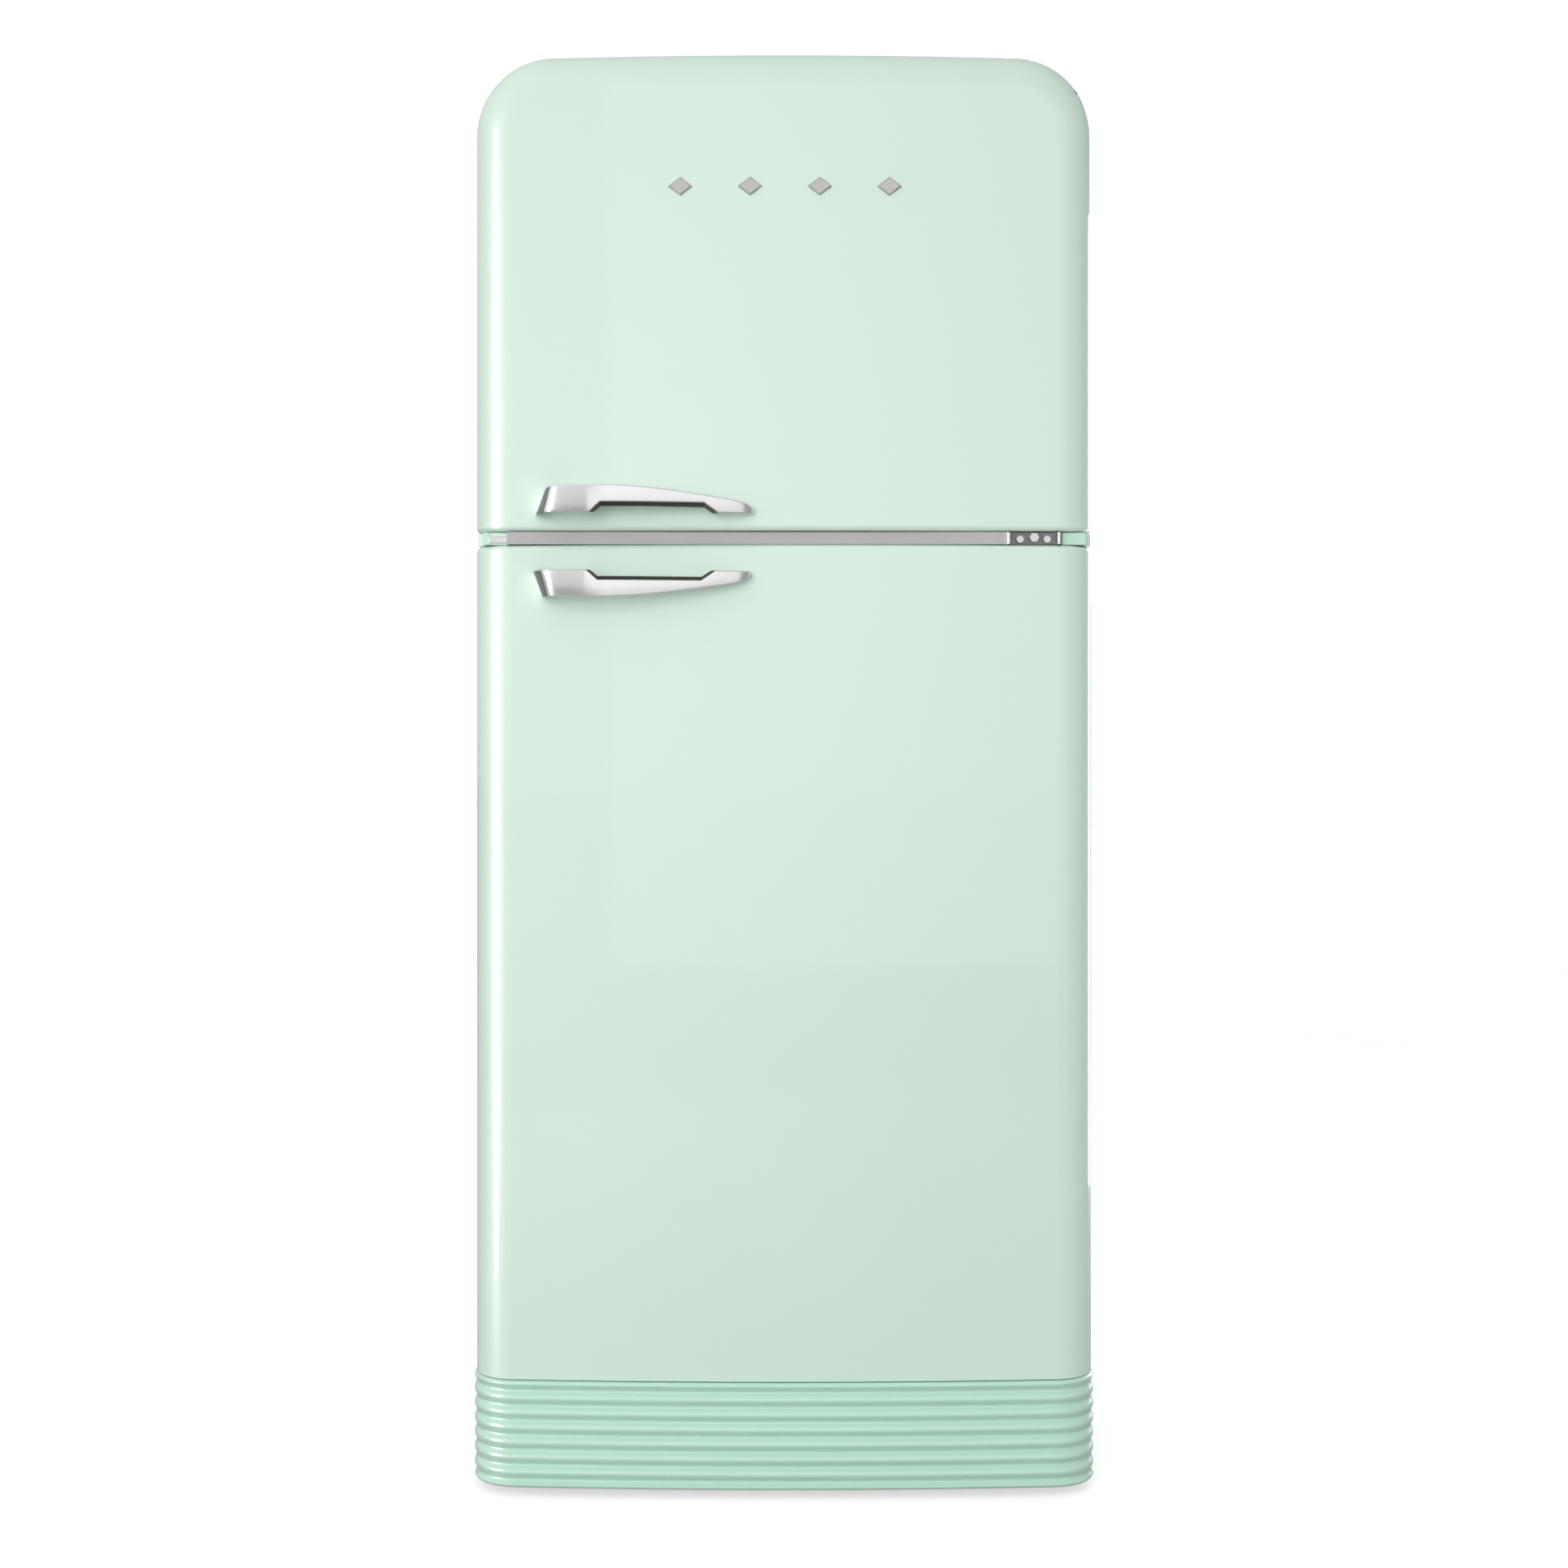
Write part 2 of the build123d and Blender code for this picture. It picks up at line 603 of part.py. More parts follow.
with BuildPart() as freezer_liner:
    extrude(outline(CABINET_FRONT, FLANGE, RAIL[1]), amount=-SHEET)
    add(cavity(FREEZER_CAVITY, LINER, foam_front))
    add(cavity(FREEZER_CAVITY, 0, CABINET_FRONT), mode=Mode.SUBTRACT)
    ledges(FREEZER_SHELF_Z, (SHELF_FRONT, PANEL_Y[0]))
save(freezer_liner, "freezer_liner")

with BuildPart() as fridge_liner:
    face_half = DOOR_HALF - FLANGE
    block((-face_half, face_half), (CABINET_FRONT, foam_front), (CABINET_FLOOR + FLANGE, RAIL[0]))
    add(cavity(FRIDGE_CAVITY, LINER, foam_front))
    add(cavity(FRIDGE_CAVITY, 0, CABINET_FRONT), mode=Mode.SUBTRACT)
    for z in FRIDGE_SHELF_Z + (RACK_Z,):
        ledges(z, (SHELF_FRONT, DUCT_Y[0] - 6))
    ledges(CRISPER_COVER[0], (SHELF_FRONT, STEP[0]))
save(fridge_liner, "fridge_liner")

rail_left = -(HINGE_X + TONGUE + 3)
with BuildPart() as centre_rail:
    block((rail_left, MIDDLE_HINGE_X[0]), (END_CAP_Y[1], foam_front), RAIL)
    block((-END_CAP[0], MIDDLE_HINGE_X[0]), (RAIL_FRONT, END_CAP_Y[1]), RAIL)
    block((MIDDLE_HINGE_X[0], -rail_left), (MIDDLE_HINGE_REAR, foam_front), RAIL)
    hollow = (2 - END_CAP[0], MIDDLE_HINGE_X[0] - 2)
    block(hollow, (RAIL_FRONT + 2, MIDDLE_HINGE_REAR), (RAIL[0] + 2, RAIL[1] - 2), Mode.SUBTRACT)
save(centre_rail, "centre_rail")

# ---- ribbed plinth skirt: it wraps the front and both sides ----
with BuildPart() as plinth_skirt:
    add(skirt_slab(SKIRT, RIB_DEPTH, 0))
    add(skirt_slab((SKIRT[0], GROOVE_Z - GROOVE_H / 2), 0, TOP_LIP_R))
    for rib in range(GROOVE_COUNT - 1):
        groove = GROOVE_Z + rib * RIB_PITCH
        add(skirt_slab((groove + GROOVE_H / 2, groove + RIB_PITCH - GROOVE_H / 2), 0, RIB_EDGE_R))
    last_groove = GROOVE_Z + (GROOVE_COUNT - 1) * RIB_PITCH
    add(skirt_slab((last_groove + GROOVE_H / 2, SKIRT[1]), 0, TOP_LIP_R))
    add(skirt_slab((SKIRT[0] - 1, SKIRT[1] - SKIRT_TOP_T), SKIRT_WALL, 0), mode=Mode.SUBTRACT)
    inside = SKIRT_HALF - SKIRT_WALL
    block((-inside, inside), (CABINET_FRONT - 2, 400), (SKIRT[0] - 1, SKIRT[1] + 1), Mode.SUBTRACT)
    upright(HINGE_X, HINGE_Y, (SKIRT[0], SKIRT[1] + 1), PIN_R + 2, Mode.SUBTRACT)
    for y in SKIRT_TABS:
        for side in (-1, 1):
            edge = sorted((side * FRAME_RAIL[1], side * (inside + 1)))
            block(edge, (y - 15, y + 15), (90, 120))
save(plinth_skirt, "plinth_skirt")

# ---- base frame: two channels, two cross beams, the compressor plate, roller forks, the fan bracket ----
with BuildPart() as base_frame:
    for side in (-1, 1):
        channel = sorted(side * x for x in FRAME_RAIL)
        block(channel, (FRAME_FRONT, SKIRT_REAR), FRAME_Z)
        hollow = (channel[0] + FRAME_T, channel[1] - FRAME_T)
        block(hollow, (FRAME_FRONT + FRAME_T, SKIRT_REAR - FRAME_T), (FRAME_Z[0] - 1, FRAME_Z[1] - FRAME_T),
              Mode.SUBTRACT)
        nut = (FOOT[1] - 16, FOOT[1] + 16)
        block(hollow, nut, (FRAME_Z[0], FRAME_Z[0] + NUT_T))
        bore_z = (FRAME_Z[0] - 1, FRAME_Z[0] + NUT_T + 1)
        upright(side * FOOT[0], FOOT[1], bore_z, PIN_R + RUNNING, Mode.SUBTRACT)
        for cheek in (-1, 1):
            x = sorted((side * ROLLER[0] + cheek * FORK_HALF, side * ROLLER[0] + cheek * (FORK_HALF + 3)))
            block(x, (ROLLER[1] - 20, ROLLER[1] + 20), (8, FRAME_Z[1] - 1))
        axle = (side * ROLLER[0] - FORK_HALF - 1, side * ROLLER[0] + FORK_HALF + 1)
        rod_along_x(axle, ROLLER[1], ROLLER[2], PIN_R)
    beam = (-FRAME_RAIL[1], FRAME_RAIL[1])
    for y in BEAMS:
        block(beam, (y, y + BEAM_W), (FRAME_Z[1] - 30, CABINET_FLOOR))
    block((-FRAME_RAIL[0], FRAME_RAIL[0]), (BAY[0] + 3, SKIRT_REAR), (FRAME_Z[0], FRAME_Z[0] + 3))
    plate = sorted((FAN_X - 22, FAN_X - 19))
    block(plate, (BAY[0] + 8, SKIRT_REAR - 5), (FRAME_Z[0], 235))
    with Locations(Location((FAN_X - 20.5, FAN_Y, FAN_Z), (0, 90, 0))):
        Cylinder(FAN_R + 6, 5, mode=Mode.SUBTRACT)
    extrude(guard_face(Plane((FAN_X - 22, FAN_Y, FAN_Z), z_dir=(1, 0, 0)), FAN_R + 6), amount=3)
    rod_along_x((FAN_X - 20, FAN_X + FAN_HUB_L / 2), FAN_Y, FAN_Z, FAN_PIN_R)
save(base_frame, "base_frame")

for name, side in (("left", -1), ("right", 1)):
    with BuildPart() as foot:
        upright(side * FOOT[0], FOOT[1], (0, 9), 20)
        fillet(foot.edges().group_by(Axis.Z)[0], 2)
        with BuildSketch(Plane.XY.offset(9)):
            with Locations((side * FOOT[0], FOOT[1])):
                RegularPolygon(11, 6)
        extrude(amount=10)
        upright(side * FOOT[0], FOOT[1], (9, 100), PIN_R)
    save(foot, f"foot_{name}")

    with BuildPart() as roller:
        rod_along_x((side * ROLLER[0] - 10, side * ROLLER[0] + 10), ROLLER[1], ROLLER[2], ROLLER[2])
        fillet(roller.edges(), 2)
        rod_along_x((side * ROLLER[0] - 11, side * ROLLER[0] + 11), ROLLER[1], ROLLER[2], PIN_R + RUNNING,
                    Mode.SUBTRACT)
    save(roller, f"rear_roller_{name}")

# ---- hinges ----
with BuildPart() as top_hinge:
    with BuildSketch(Plane.XY.offset(TOP_ARM_Z[0])):
        Polygon(
            (HINGE_X - TONGUE, HINGE_Y), (HINGE_X + TONGUE, HINGE_Y),
            (TOP_ARM_ROOT[1], CABINET_FRONT), (TOP_ARM_ROOT[0], CABINET_FRONT),
            align=None,
        )
        with Locations((HINGE_X, HINGE_Y)):
            Circle(TONGUE)
    extrude(amount=TOP_ARM_Z[1] - TOP_ARM_Z[0])
    block(TOP_BRACKET[0], (CABINET_FRONT - BRACKET_T, CABINET_FRONT), TOP_BRACKET[1])
    upright(HINGE_X, HINGE_Y, (SLOT_Z[0] - BUSH_L + 4, TOP_ARM_Z[1]), PIN_R)
save(top_hinge, "top_hinge")

with BuildPart() as middle_hinge:
    block(MIDDLE_HINGE_X, (RAIL_FRONT, MIDDLE_HINGE_REAR), RAIL)
    recess = (MIDDLE_HINGE_X[0] + HINGE_FLANGE, MIDDLE_HINGE_X[1] - HINGE_FLANGE)
    block(recess, (RAIL_FRONT - 1, RAIL_FRONT + HINGE_RECESS), (RAIL[0] - 1, RAIL[1] + 1), Mode.SUBTRACT)
    fillet(middle_hinge.edges().filter_by(Axis.Z).group_by(Axis.Y)[0], 1)
    block((HINGE_X - TONGUE, HINGE_X + TONGUE), (HINGE_Y - TONGUE, HINGE_Y + TONGUE), RAIL)
    upright(HINGE_X, HINGE_Y, (RAIL[0] - BUSH_L + 4, RAIL[1] + BUSH_L - 4), PIN_R)
save(middle_hinge, "middle_hinge")

with BuildPart() as bottom_hinge:
    arm_y = (FRAME_FRONT - 5, BOTTOM_ARM_REAR)
    block((BOTTOM_ARM_X, FRAME_RAIL[1]), arm_y, (FRAME_Z[1], FRAME_Z[1] + HINGE_T))
    upright(HINGE_X, HINGE_Y, (FRAME_Z[1], FRIDGE_DOOR[0] + BUSH_L - 4), PIN_R)
save(bottom_hinge, "bottom_hinge")

with BuildPart() as hinge_screws:
    recess_y = RAIL_FRONT + HINGE_RECESS
    rail_z = (RAIL[0] + RAIL[1]) / 2
    hinge_middle = (MIDDLE_HINGE_X[0] + MIDDLE_HINGE_X[1]) / 2
    for x in (hinge_middle - 18, hinge_middle + 17):
        rod_along_y(x, (recess_y - 4, recess_y), rail_z - 1, 4.6)
    with BuildSketch(Plane.XZ.offset(-recess_y)):
        with Locations((hinge_middle, rail_z + 1)):
            RegularPolygon(6.2, 6)
    extrude(amount=HINGE_RECESS)
    for x in TOP_SCREWS[0]:
        bracket_y = CABINET_FRONT - BRACKET_T
        rod_along_y(x, (bracket_y - 3, bracket_y), TOP_SCREWS[1], 4)
    for x in BOTTOM_SCREWS[0]:
        upright(x, BOTTOM_SCREWS[1], (FRAME_Z[1] + HINGE_T, FRAME_Z[1] + HINGE_T + 3), 5)
save(hinge_screws, "hinge_screws")

# ---- freezer fittings ----
with BuildPart() as freezer_air_panel:
    panel_z = (FREEZER_CAVITY[0] + 0.5, FREEZER_CAVITY[1] - 0.5)
    extrude(window(PANEL_Y[1], CAVITY_HALF - 0.5, panel_z, CAVITY_R), amount=PANEL_Y[1] - PANEL_Y[0])
    rod_along_y(0, (PANEL_Y[0] - 1, PANEL_Y[1] + 1), AIR_FAN_Z, AIR_FAN_R + 4, Mode.SUBTRACT)
    extrude(guard_face(Plane.XZ.offset(-PANEL_Y[1]).shift_origin((0, PANEL_Y[1], AIR_FAN_Z)), AIR_FAN_R + 4),
            amount=PANEL_Y[1] - PANEL_Y[0])
    rod_along_y(0, (PANEL_Y[0] + 1, AIR_FAN_Y + FAN_HUB_L / 2), AIR_FAN_Z, FAN_PIN_R)
    for column in range(-9, 10):
        x = column * SLIT_PITCH
        for z in PANEL_SLITS:
            slit = (x - SLIT[0] / 2, x + SLIT[0] / 2)
            block(slit, (PANEL_Y[0] - 1, PANEL_Y[1] + 1), (z, z + SLIT[1]), Mode.SUBTRACT)
save(freezer_air_panel, "freezer_air_panel")

with BuildPart() as evaporator_fan:
    fan_wheel((0, AIR_FAN_Y, AIR_FAN_Z), (0, 1, 0), AIR_FAN_R)
save(evaporator_fan, "evaporator_fan")

with BuildPart() as evaporator:
    for place in range(-11, 12):
        x = place * EVAPORATOR_PITCH
        block((x - FIN_T / 2, x + FIN_T / 2), EVAPORATOR_Y, EVAPORATOR_Z)
    for y in (282, 308):
        for z in (1320, 1358, 1396, 1434):
            rod_along_x((-EVAPORATOR_HALF, EVAPORATOR_HALF), y, z, TUBE_R)
save(evaporator, "evaporator")

with BuildPart() as freezer_shelf:
    shelf_z = (FREEZER_SHELF_Z, FREEZER_SHELF_Z + SHELF_T)
    block((-SHELF_HALF, SHELF_HALF), (SHELF_FRONT, PANEL_Y[0] - 3), shelf_z)
    fillet(freezer_shelf.edges().filter_by(Axis.Z), 6)
save(freezer_shelf, "freezer_shelf")

bay_half = (ICE_X[1] - ICE_X[0] - 9) / 4
tray_x = (ICE_X[0] + 3 + bay_half, ICE_X[1] - 3 - bay_half)
with BuildPart() as ice_maker_frame:
    block(ICE_X, ICE_Y, (ICE_Z[0], FREEZER_SHELF_Z))
    for x in tray_x:
        block((x - bay_half, x + bay_half), (ICE_Y[0] + 3, ICE_Y[1] - 3), (ICE_Z[0] - 1, FREEZER_SHELF_Z - 3),
              Mode.SUBTRACT)
        rod_along_y(x, (ICE_Y[0] - 1, ICE_Y[0] + 4), TRAY_Z, TRAY_SHAFT_R + RUNNING, Mode.SUBTRACT)
        rod_along_y(x, (ICE_Y[1] - 4, ICE_Y[1] + 1), TRAY_Z, TRAY_SHAFT_R / 2 + RUNNING, Mode.SUBTRACT)
save(ice_maker_frame, "ice_maker_frame")

for name, x in zip(("left", "right"), tray_x):
    with BuildPart() as ice_tray:
        block((x - 44, x + 44), (ICE_Y[0] + 6, ICE_Y[1] - 6), (TRAY_Z - 16, TRAY_Z + 16))
        block((x - 41, x + 41), (ICE_Y[0] + 9, ICE_Y[1] - 9), (TRAY_Z + 2, TRAY_Z + 17), Mode.SUBTRACT)
        with BuildSketch(Plane.XY.offset(TRAY_Z + 2)):
            with Locations((x, (ICE_Y[0] + ICE_Y[1]) / 2)):
                with GridLocations(41, 30, 2, 6):
                    RectangleRounded(38, 27, 5)
        extrude(amount=-15, taper=8, mode=Mode.SUBTRACT)
        rod_along_y(x, (ICE_Y[0] - 8, ICE_Y[0] + 7), TRAY_Z, TRAY_SHAFT_R)
        rod_along_y(x, (ICE_Y[1] - 7, ICE_Y[1]), TRAY_Z, TRAY_SHAFT_R / 2)
        with Locations((x, ICE_Y[0] - 14, TRAY_Z)):
            Box(30, 16, 12)
    save(ice_tray, f"ice_tray_{name}")

ice_drawer = drawer(ICE_X, (DRAWER_FRONT, 240), (FREEZER_CAVITY[0] + 0.5, ICE_Z[0] - 10), 45)
save(ice_drawer, "ice_drawer")

# ---- fridge fittings ----
with BuildPart() as fridge_shelves:
    for z in FRIDGE_SHELF_Z:
        block((-SHELF_HALF, SHELF_HALF), (SHELF_FRONT, DUCT_Y[0] - 6), (z, z + SHELF_T))
    fillet(fridge_shelves.edges().filter_by(Axis.Z), 6)
save(fridge_shelves, "fridge_shelves")

with BuildPart() as bottle_rack:
    for y in (SHELF_FRONT + 5, 85, DUCT_Y[0] - 20):
        rod_along_x((-SHELF_HALF, SHELF_HALF), y, RACK_Z + 3, 3)
    for place in range(-8, 9):
        rod_along_y(place * 38, (SHELF_FRONT, DUCT_Y[0] - 12), RACK_Z + 7.5, 2)
save(bottle_rack, "bottle_rack")

with BuildPart() as crisper_cover:
    block((-SHELF_HALF, SHELF_HALF), (DRAWER_FRONT - 5, CAVITY_REAR - 4), CRISPER_COVER)
save(crisper_cover, "crisper_cover")

for name, x in (("crisper_left", (-320, -3)), ("crisper_right", (3, 320))):
    save(drawer(x, (DRAWER_FRONT, STEP[0] - 4), (FRIDGE_CAVITY[0] + 0.5, 424), 60), name)

save(drawer((-316, 316), (DRAWER_FRONT, 300), (CRISPER_COVER[1] + 0.5, 556), 80), "cold_drawer")

with BuildPart() as fridge_air_duct:
    block((-DUCT_HALF, DUCT_HALF), (DUCT_Y[0], CAVITY_REAR), DUCT_Z)
    inside = DUCT_HALF - 3
    block((-inside, inside), (DUCT_Y[0] + 3, CAVITY_REAR + 1), (DUCT_Z[0] + 3, DUCT_Z[1] - 3), Mode.SUBTRACT)
    for z in DUCT_SLITS:
        for x in (-60, 0, 60):
            block((x - 22, x + 22), (DUCT_Y[0] - 1, DUCT_Y[0] + 4), (z, z + 6), Mode.SUBTRACT)
save(fridge_air_duct, "fridge_air_duct")

with BuildPart() as light_panel:
    block(LIGHT_PANEL[0], LIGHT_PANEL[1], (FRIDGE_CAVITY[1] - LIGHT_PANEL_T, FRIDGE_CAVITY[1]))
    fillet(light_panel.edges().group_by(Axis.Z)[0], 3)
save(light_panel, "light_panel")

with BuildPart() as control_panel:
    block((-CONTROL_HALF, CONTROL_HALF), PANEL_FRONT, (CONTROL_BOTTOM, FRIDGE_CAVITY[1]))
    well = (BUTTON[0] + BUTTON_GAP, BUTTON[1] + BUTTON_GAP)
    well_y = (PANEL_FRONT[0] - 1, PANEL_FRONT[0] + BUTTON_DEPTH + 3)
    for x in BUTTON_X:
        block((x - well[0], x + well[0]), well_y, (BUTTON_Z - well[1], BUTTON_Z + well[1]), Mode.SUBTRACT)
save(control_panel, "control_panel")

for name, x in zip(("button_colder", "button_warmer"), BUTTON_X):
    with BuildPart() as button:
        cap_y = (PANEL_FRONT[0] - 2, PANEL_FRONT[0] + BUTTON_DEPTH)
        block((x - BUTTON[0], x + BUTTON[0]), cap_y, (BUTTON_Z - BUTTON[1], BUTTON_Z + BUTTON[1]))
        fillet(button.edges().group_by(Axis.Y)[0], 1)
    save(button, name)

# ---- compressor bay and back ----
plate_top = FRAME_Z[0] + 3
comp_x, comp_y = COMPRESSOR
with BuildPart() as compressor:
    for x in (comp_x - COMPRESSOR_FEET[0], comp_x + COMPRESSOR_FEET[0]):
        for y in (comp_y - COMPRESSOR_FEET[1], comp_y + COMPRESSOR_FEET[1]):
            upright(x, y, (plate_top, plate_top + 10), 10)
    base_x = (comp_x - COMPRESSOR_BASE[0], comp_x + COMPRESSOR_BASE[0])
    base_y = (comp_y - COMPRESSOR_BASE[1], comp_y + COMPRESSOR_BASE[1])
    block(base_x, base_y, (plate_top + 9, plate_top + 12))
    with BuildSketch(Plane.XY.offset(plate_top + 11)):
        with Locations(COMPRESSOR):
            Ellipse(COMPRESSOR_RADII[0], COMPRESSOR_RADII[1])
    extrude(amount=COMPRESSOR_TOP - plate_top - 11)
    fillet(compressor.edges().group_by(Axis.Z)[-1], 30)
    terminal_box = (comp_x - 92, comp_x - 60)
    block(terminal_box, (comp_y - 25, comp_y + 25), (120, 175))
save(compressor, "compressor")

with BuildPart() as drip_tray:
    tray_half_x, tray_half_y, tray_h = DRIP_TRAY
    block((comp_x - tray_half_x, comp_x + tray_half_x), (comp_y - tray_half_y, comp_y + tray_half_y),
          (COMPRESSOR_TOP, COMPRESSOR_TOP + tray_h))
    offset(amount=-WALL, openings=drip_tray.faces().sort_by(Axis.Z)[-1])
save(drip_tray, "drip_tray")

with BuildPart() as condenser:
    for place in range(16):
        x = CONDENSER_X[0] + 13 + place * CONDENSER_PITCH
        block((x, x + FIN_T), CONDENSER_Y, (plate_top, COMPRESSOR_TOP))
    for y in (245, 295, 345):
        for z in (90, 125, 160, 195):
            rod_along_x(CONDENSER_X, y, z, TUBE_R)
save(condenser, "condenser")

with BuildPart() as condenser_fan:
    fan_wheel((FAN_X, FAN_Y, FAN_Z), (1, 0, 0), FAN_R)
save(condenser_fan, "condenser_fan")

through_grille = (GRILLE_Y - 1, GRILLE_Y + GRILLE_T + 1)
inlet_x = (INLET_X - INLET_HALF[0], INLET_X + INLET_HALF[0])
inlet_z = (INLET_Z - INLET_HALF[1], INLET_Z + INLET_HALF[1])
with BuildPart() as compressor_grille:
    block((-BAY_HALF + 2, BAY_HALF - 2), (GRILLE_Y, GRILLE_Y + GRILLE_T), (GRILLE_BOTTOM, BAY[1] - 2))
    for x in (-250, 0, 250):
        for row in range(12):
            z = 80 + row * LOUVRE_PITCH
            block((x - LOUVRE[0] / 2, x + LOUVRE[0] / 2), through_grille, (z, z + LOUVRE[1]), Mode.SUBTRACT)
    block(inlet_x, through_grille, inlet_z, Mode.SUBTRACT)
save(compressor_grille, "compressor_grille")

socket_x = (INLET_X - INLET_SOCKET[0], INLET_X + INLET_SOCKET[0])
socket_z = (INLET_Z - INLET_SOCKET[1], INLET_Z + INLET_SOCKET[1])
with BuildPart() as power_inlet:
    block(inlet_x, (GRILLE_Y - 18, GRILLE_Y + 6), inlet_z)
    block(socket_x, (GRILLE_Y - 15, GRILLE_Y + 7), socket_z, Mode.SUBTRACT)
    for x, z in ((-8, -2), (0, 3), (8, -2)):
        pin_x = (INLET_X + x - 1, INLET_X + x + 1)
        block(pin_x, (GRILLE_Y - 16, GRILLE_Y - 3), (INLET_Z + z - 2, INLET_Z + z + 2))
save(power_inlet, "power_inlet")

with BuildPart() as rear_spacers:
    for x in SPACERS[0]:
        for z in SPACERS[1]:
            pad_x = (x - SPACER_HALF[0], x + SPACER_HALF[0])
            block(pad_x, (CABINET_REAR, HALF_DEPTH), (z - SPACER_HALF[1], z + SPACER_HALF[1]))
    fillet(rear_spacers.edges().group_by(Axis.Y)[-1], 3)
save(rear_spacers, "rear_spacers")
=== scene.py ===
"""Looks of a retro two-door refrigerator with the freezer on top. Metres, in the CAD's frame."""
import bmesh
import bpy
import json
import math
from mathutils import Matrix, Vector


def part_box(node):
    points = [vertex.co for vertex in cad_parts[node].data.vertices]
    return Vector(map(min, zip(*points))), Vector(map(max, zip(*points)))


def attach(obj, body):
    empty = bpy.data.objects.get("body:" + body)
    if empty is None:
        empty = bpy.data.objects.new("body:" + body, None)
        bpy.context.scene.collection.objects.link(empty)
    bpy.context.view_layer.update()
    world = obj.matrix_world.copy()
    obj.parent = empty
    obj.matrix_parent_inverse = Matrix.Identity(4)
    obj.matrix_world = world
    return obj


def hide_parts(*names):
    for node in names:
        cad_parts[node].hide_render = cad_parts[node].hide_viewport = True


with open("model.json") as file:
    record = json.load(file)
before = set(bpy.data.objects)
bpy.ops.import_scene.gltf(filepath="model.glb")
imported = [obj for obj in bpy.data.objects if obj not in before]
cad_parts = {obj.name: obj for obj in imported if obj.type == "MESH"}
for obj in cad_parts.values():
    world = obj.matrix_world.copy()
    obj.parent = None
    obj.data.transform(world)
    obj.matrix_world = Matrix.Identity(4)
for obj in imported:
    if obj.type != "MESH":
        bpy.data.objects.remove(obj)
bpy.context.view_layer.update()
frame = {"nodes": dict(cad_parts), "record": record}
nodes = frame["nodes"]
scene = bpy.context.scene

MM = 0.001


# ---- small node-tree language ----
class Shade:
    """A material under construction: a Principled shader with procedural inputs in object space."""

    def __init__(self, name, color, roughness=0.4, metallic=0.0, **shader):
        self.material = bpy.data.materials.new(name)
        self.material.use_nodes = True
        self.tree = self.material.node_tree
        self.tree.nodes.clear()
        self.bsdf = self.add("ShaderNodeBsdfPrincipled")
        output = self.add("ShaderNodeOutputMaterial")
        self.tree.links.new(self.bsdf.outputs[0], output.inputs["Surface"])
        self.bsdf.inputs["Base Color"].default_value = (*color, 1)
        self.bsdf.inputs["Roughness"].default_value = roughness
        self.bsdf.inputs["Metallic"].default_value = metallic
        for key, value in shader.items():
            self.bsdf.inputs[key.replace("_", " ")].default_value = value
        self.color = color
        self.place = self.add("ShaderNodeTexCoord").outputs["Object"]

    def add(self, kind, **settings):
        node = self.tree.nodes.new(kind)
        for key, value in settings.items():
            setattr(node, key, value)
        return node

    def link(self, source, target):
        self.tree.links.new(source, target)

    def stretched(self, scale):
        """Object coordinates scaled on each axis."""
        mapping = self.add("ShaderNodeMapping")
        mapping.inputs["Scale"].default_value = scale
        self.link(self.place, mapping.inputs["Vector"])
        return mapping.outputs[0]

    def noise(self, scale, detail=3.0, roughness=0.5, where=None):
        node = self.add("ShaderNodeTexNoise")
        node.inputs["Scale"].default_value = scale
        node.inputs["Detail"].default_value = detail
        node.inputs["Roughness"].default_value = roughness
        self.link(where or self.place, node.inputs["Vector"])
        return node.outputs["Fac"]

    def cells(self, scale):
        node = self.add("ShaderNodeTexVoronoi")
        node.inputs["Scale"].default_value = scale
        self.link(self.place, node.inputs["Vector"])
        return node

    def spread(self, value, low, high, start=0.35, end=0.65):
        """A value between start and end becomes low to high."""
        node = self.add("ShaderNodeMapRange")
        node.inputs["From Min"].default_value = start
        node.inputs["From Max"].default_value = end
        node.inputs["To Min"].default_value = low
        node.inputs["To Max"].default_value = high
        self.link(value, node.inputs["Value"])
        return node.outputs["Result"]

    def tint(self, value, other, start=0.35, end=0.65):
        """Base colour between the material's own and another, as value goes from start to end."""
        mix = self.add("ShaderNodeMix", data_type="RGBA")
        source = self.bsdf.inputs["Base Color"]
        if source.is_linked:
            self.link(source.links[0].from_socket, mix.inputs["A"])
        else:
            mix.inputs["A"].default_value = (*self.color, 1)
        mix.inputs["B"].default_value = (*other, 1)
        self.link(self.spread(value, 0, 1, start, end), mix.inputs["Factor"])
        self.link(mix.outputs["Result"], source)

    def rough(self, value, low, high, start=0.35, end=0.65):
        self.link(self.spread(value, low, high, start, end), self.bsdf.inputs["Roughness"])

    def bump(self, value, depth, strength=1.0, coat=False):
        """Relief of the given depth in metres, on top of any relief already there."""
        node = self.add("ShaderNodeBump")
        node.inputs["Strength"].default_value = strength
        node.inputs["Distance"].default_value = depth
        self.link(value, node.inputs["Height"])
        target = self.bsdf.inputs["Normal"]
        if target.is_linked:
            self.link(target.links[0].from_socket, node.inputs["Normal"])
        self.link(node.outputs[0], target)
        if coat:
            self.link(node.outputs[0], self.bsdf.inputs["Coat Normal"])


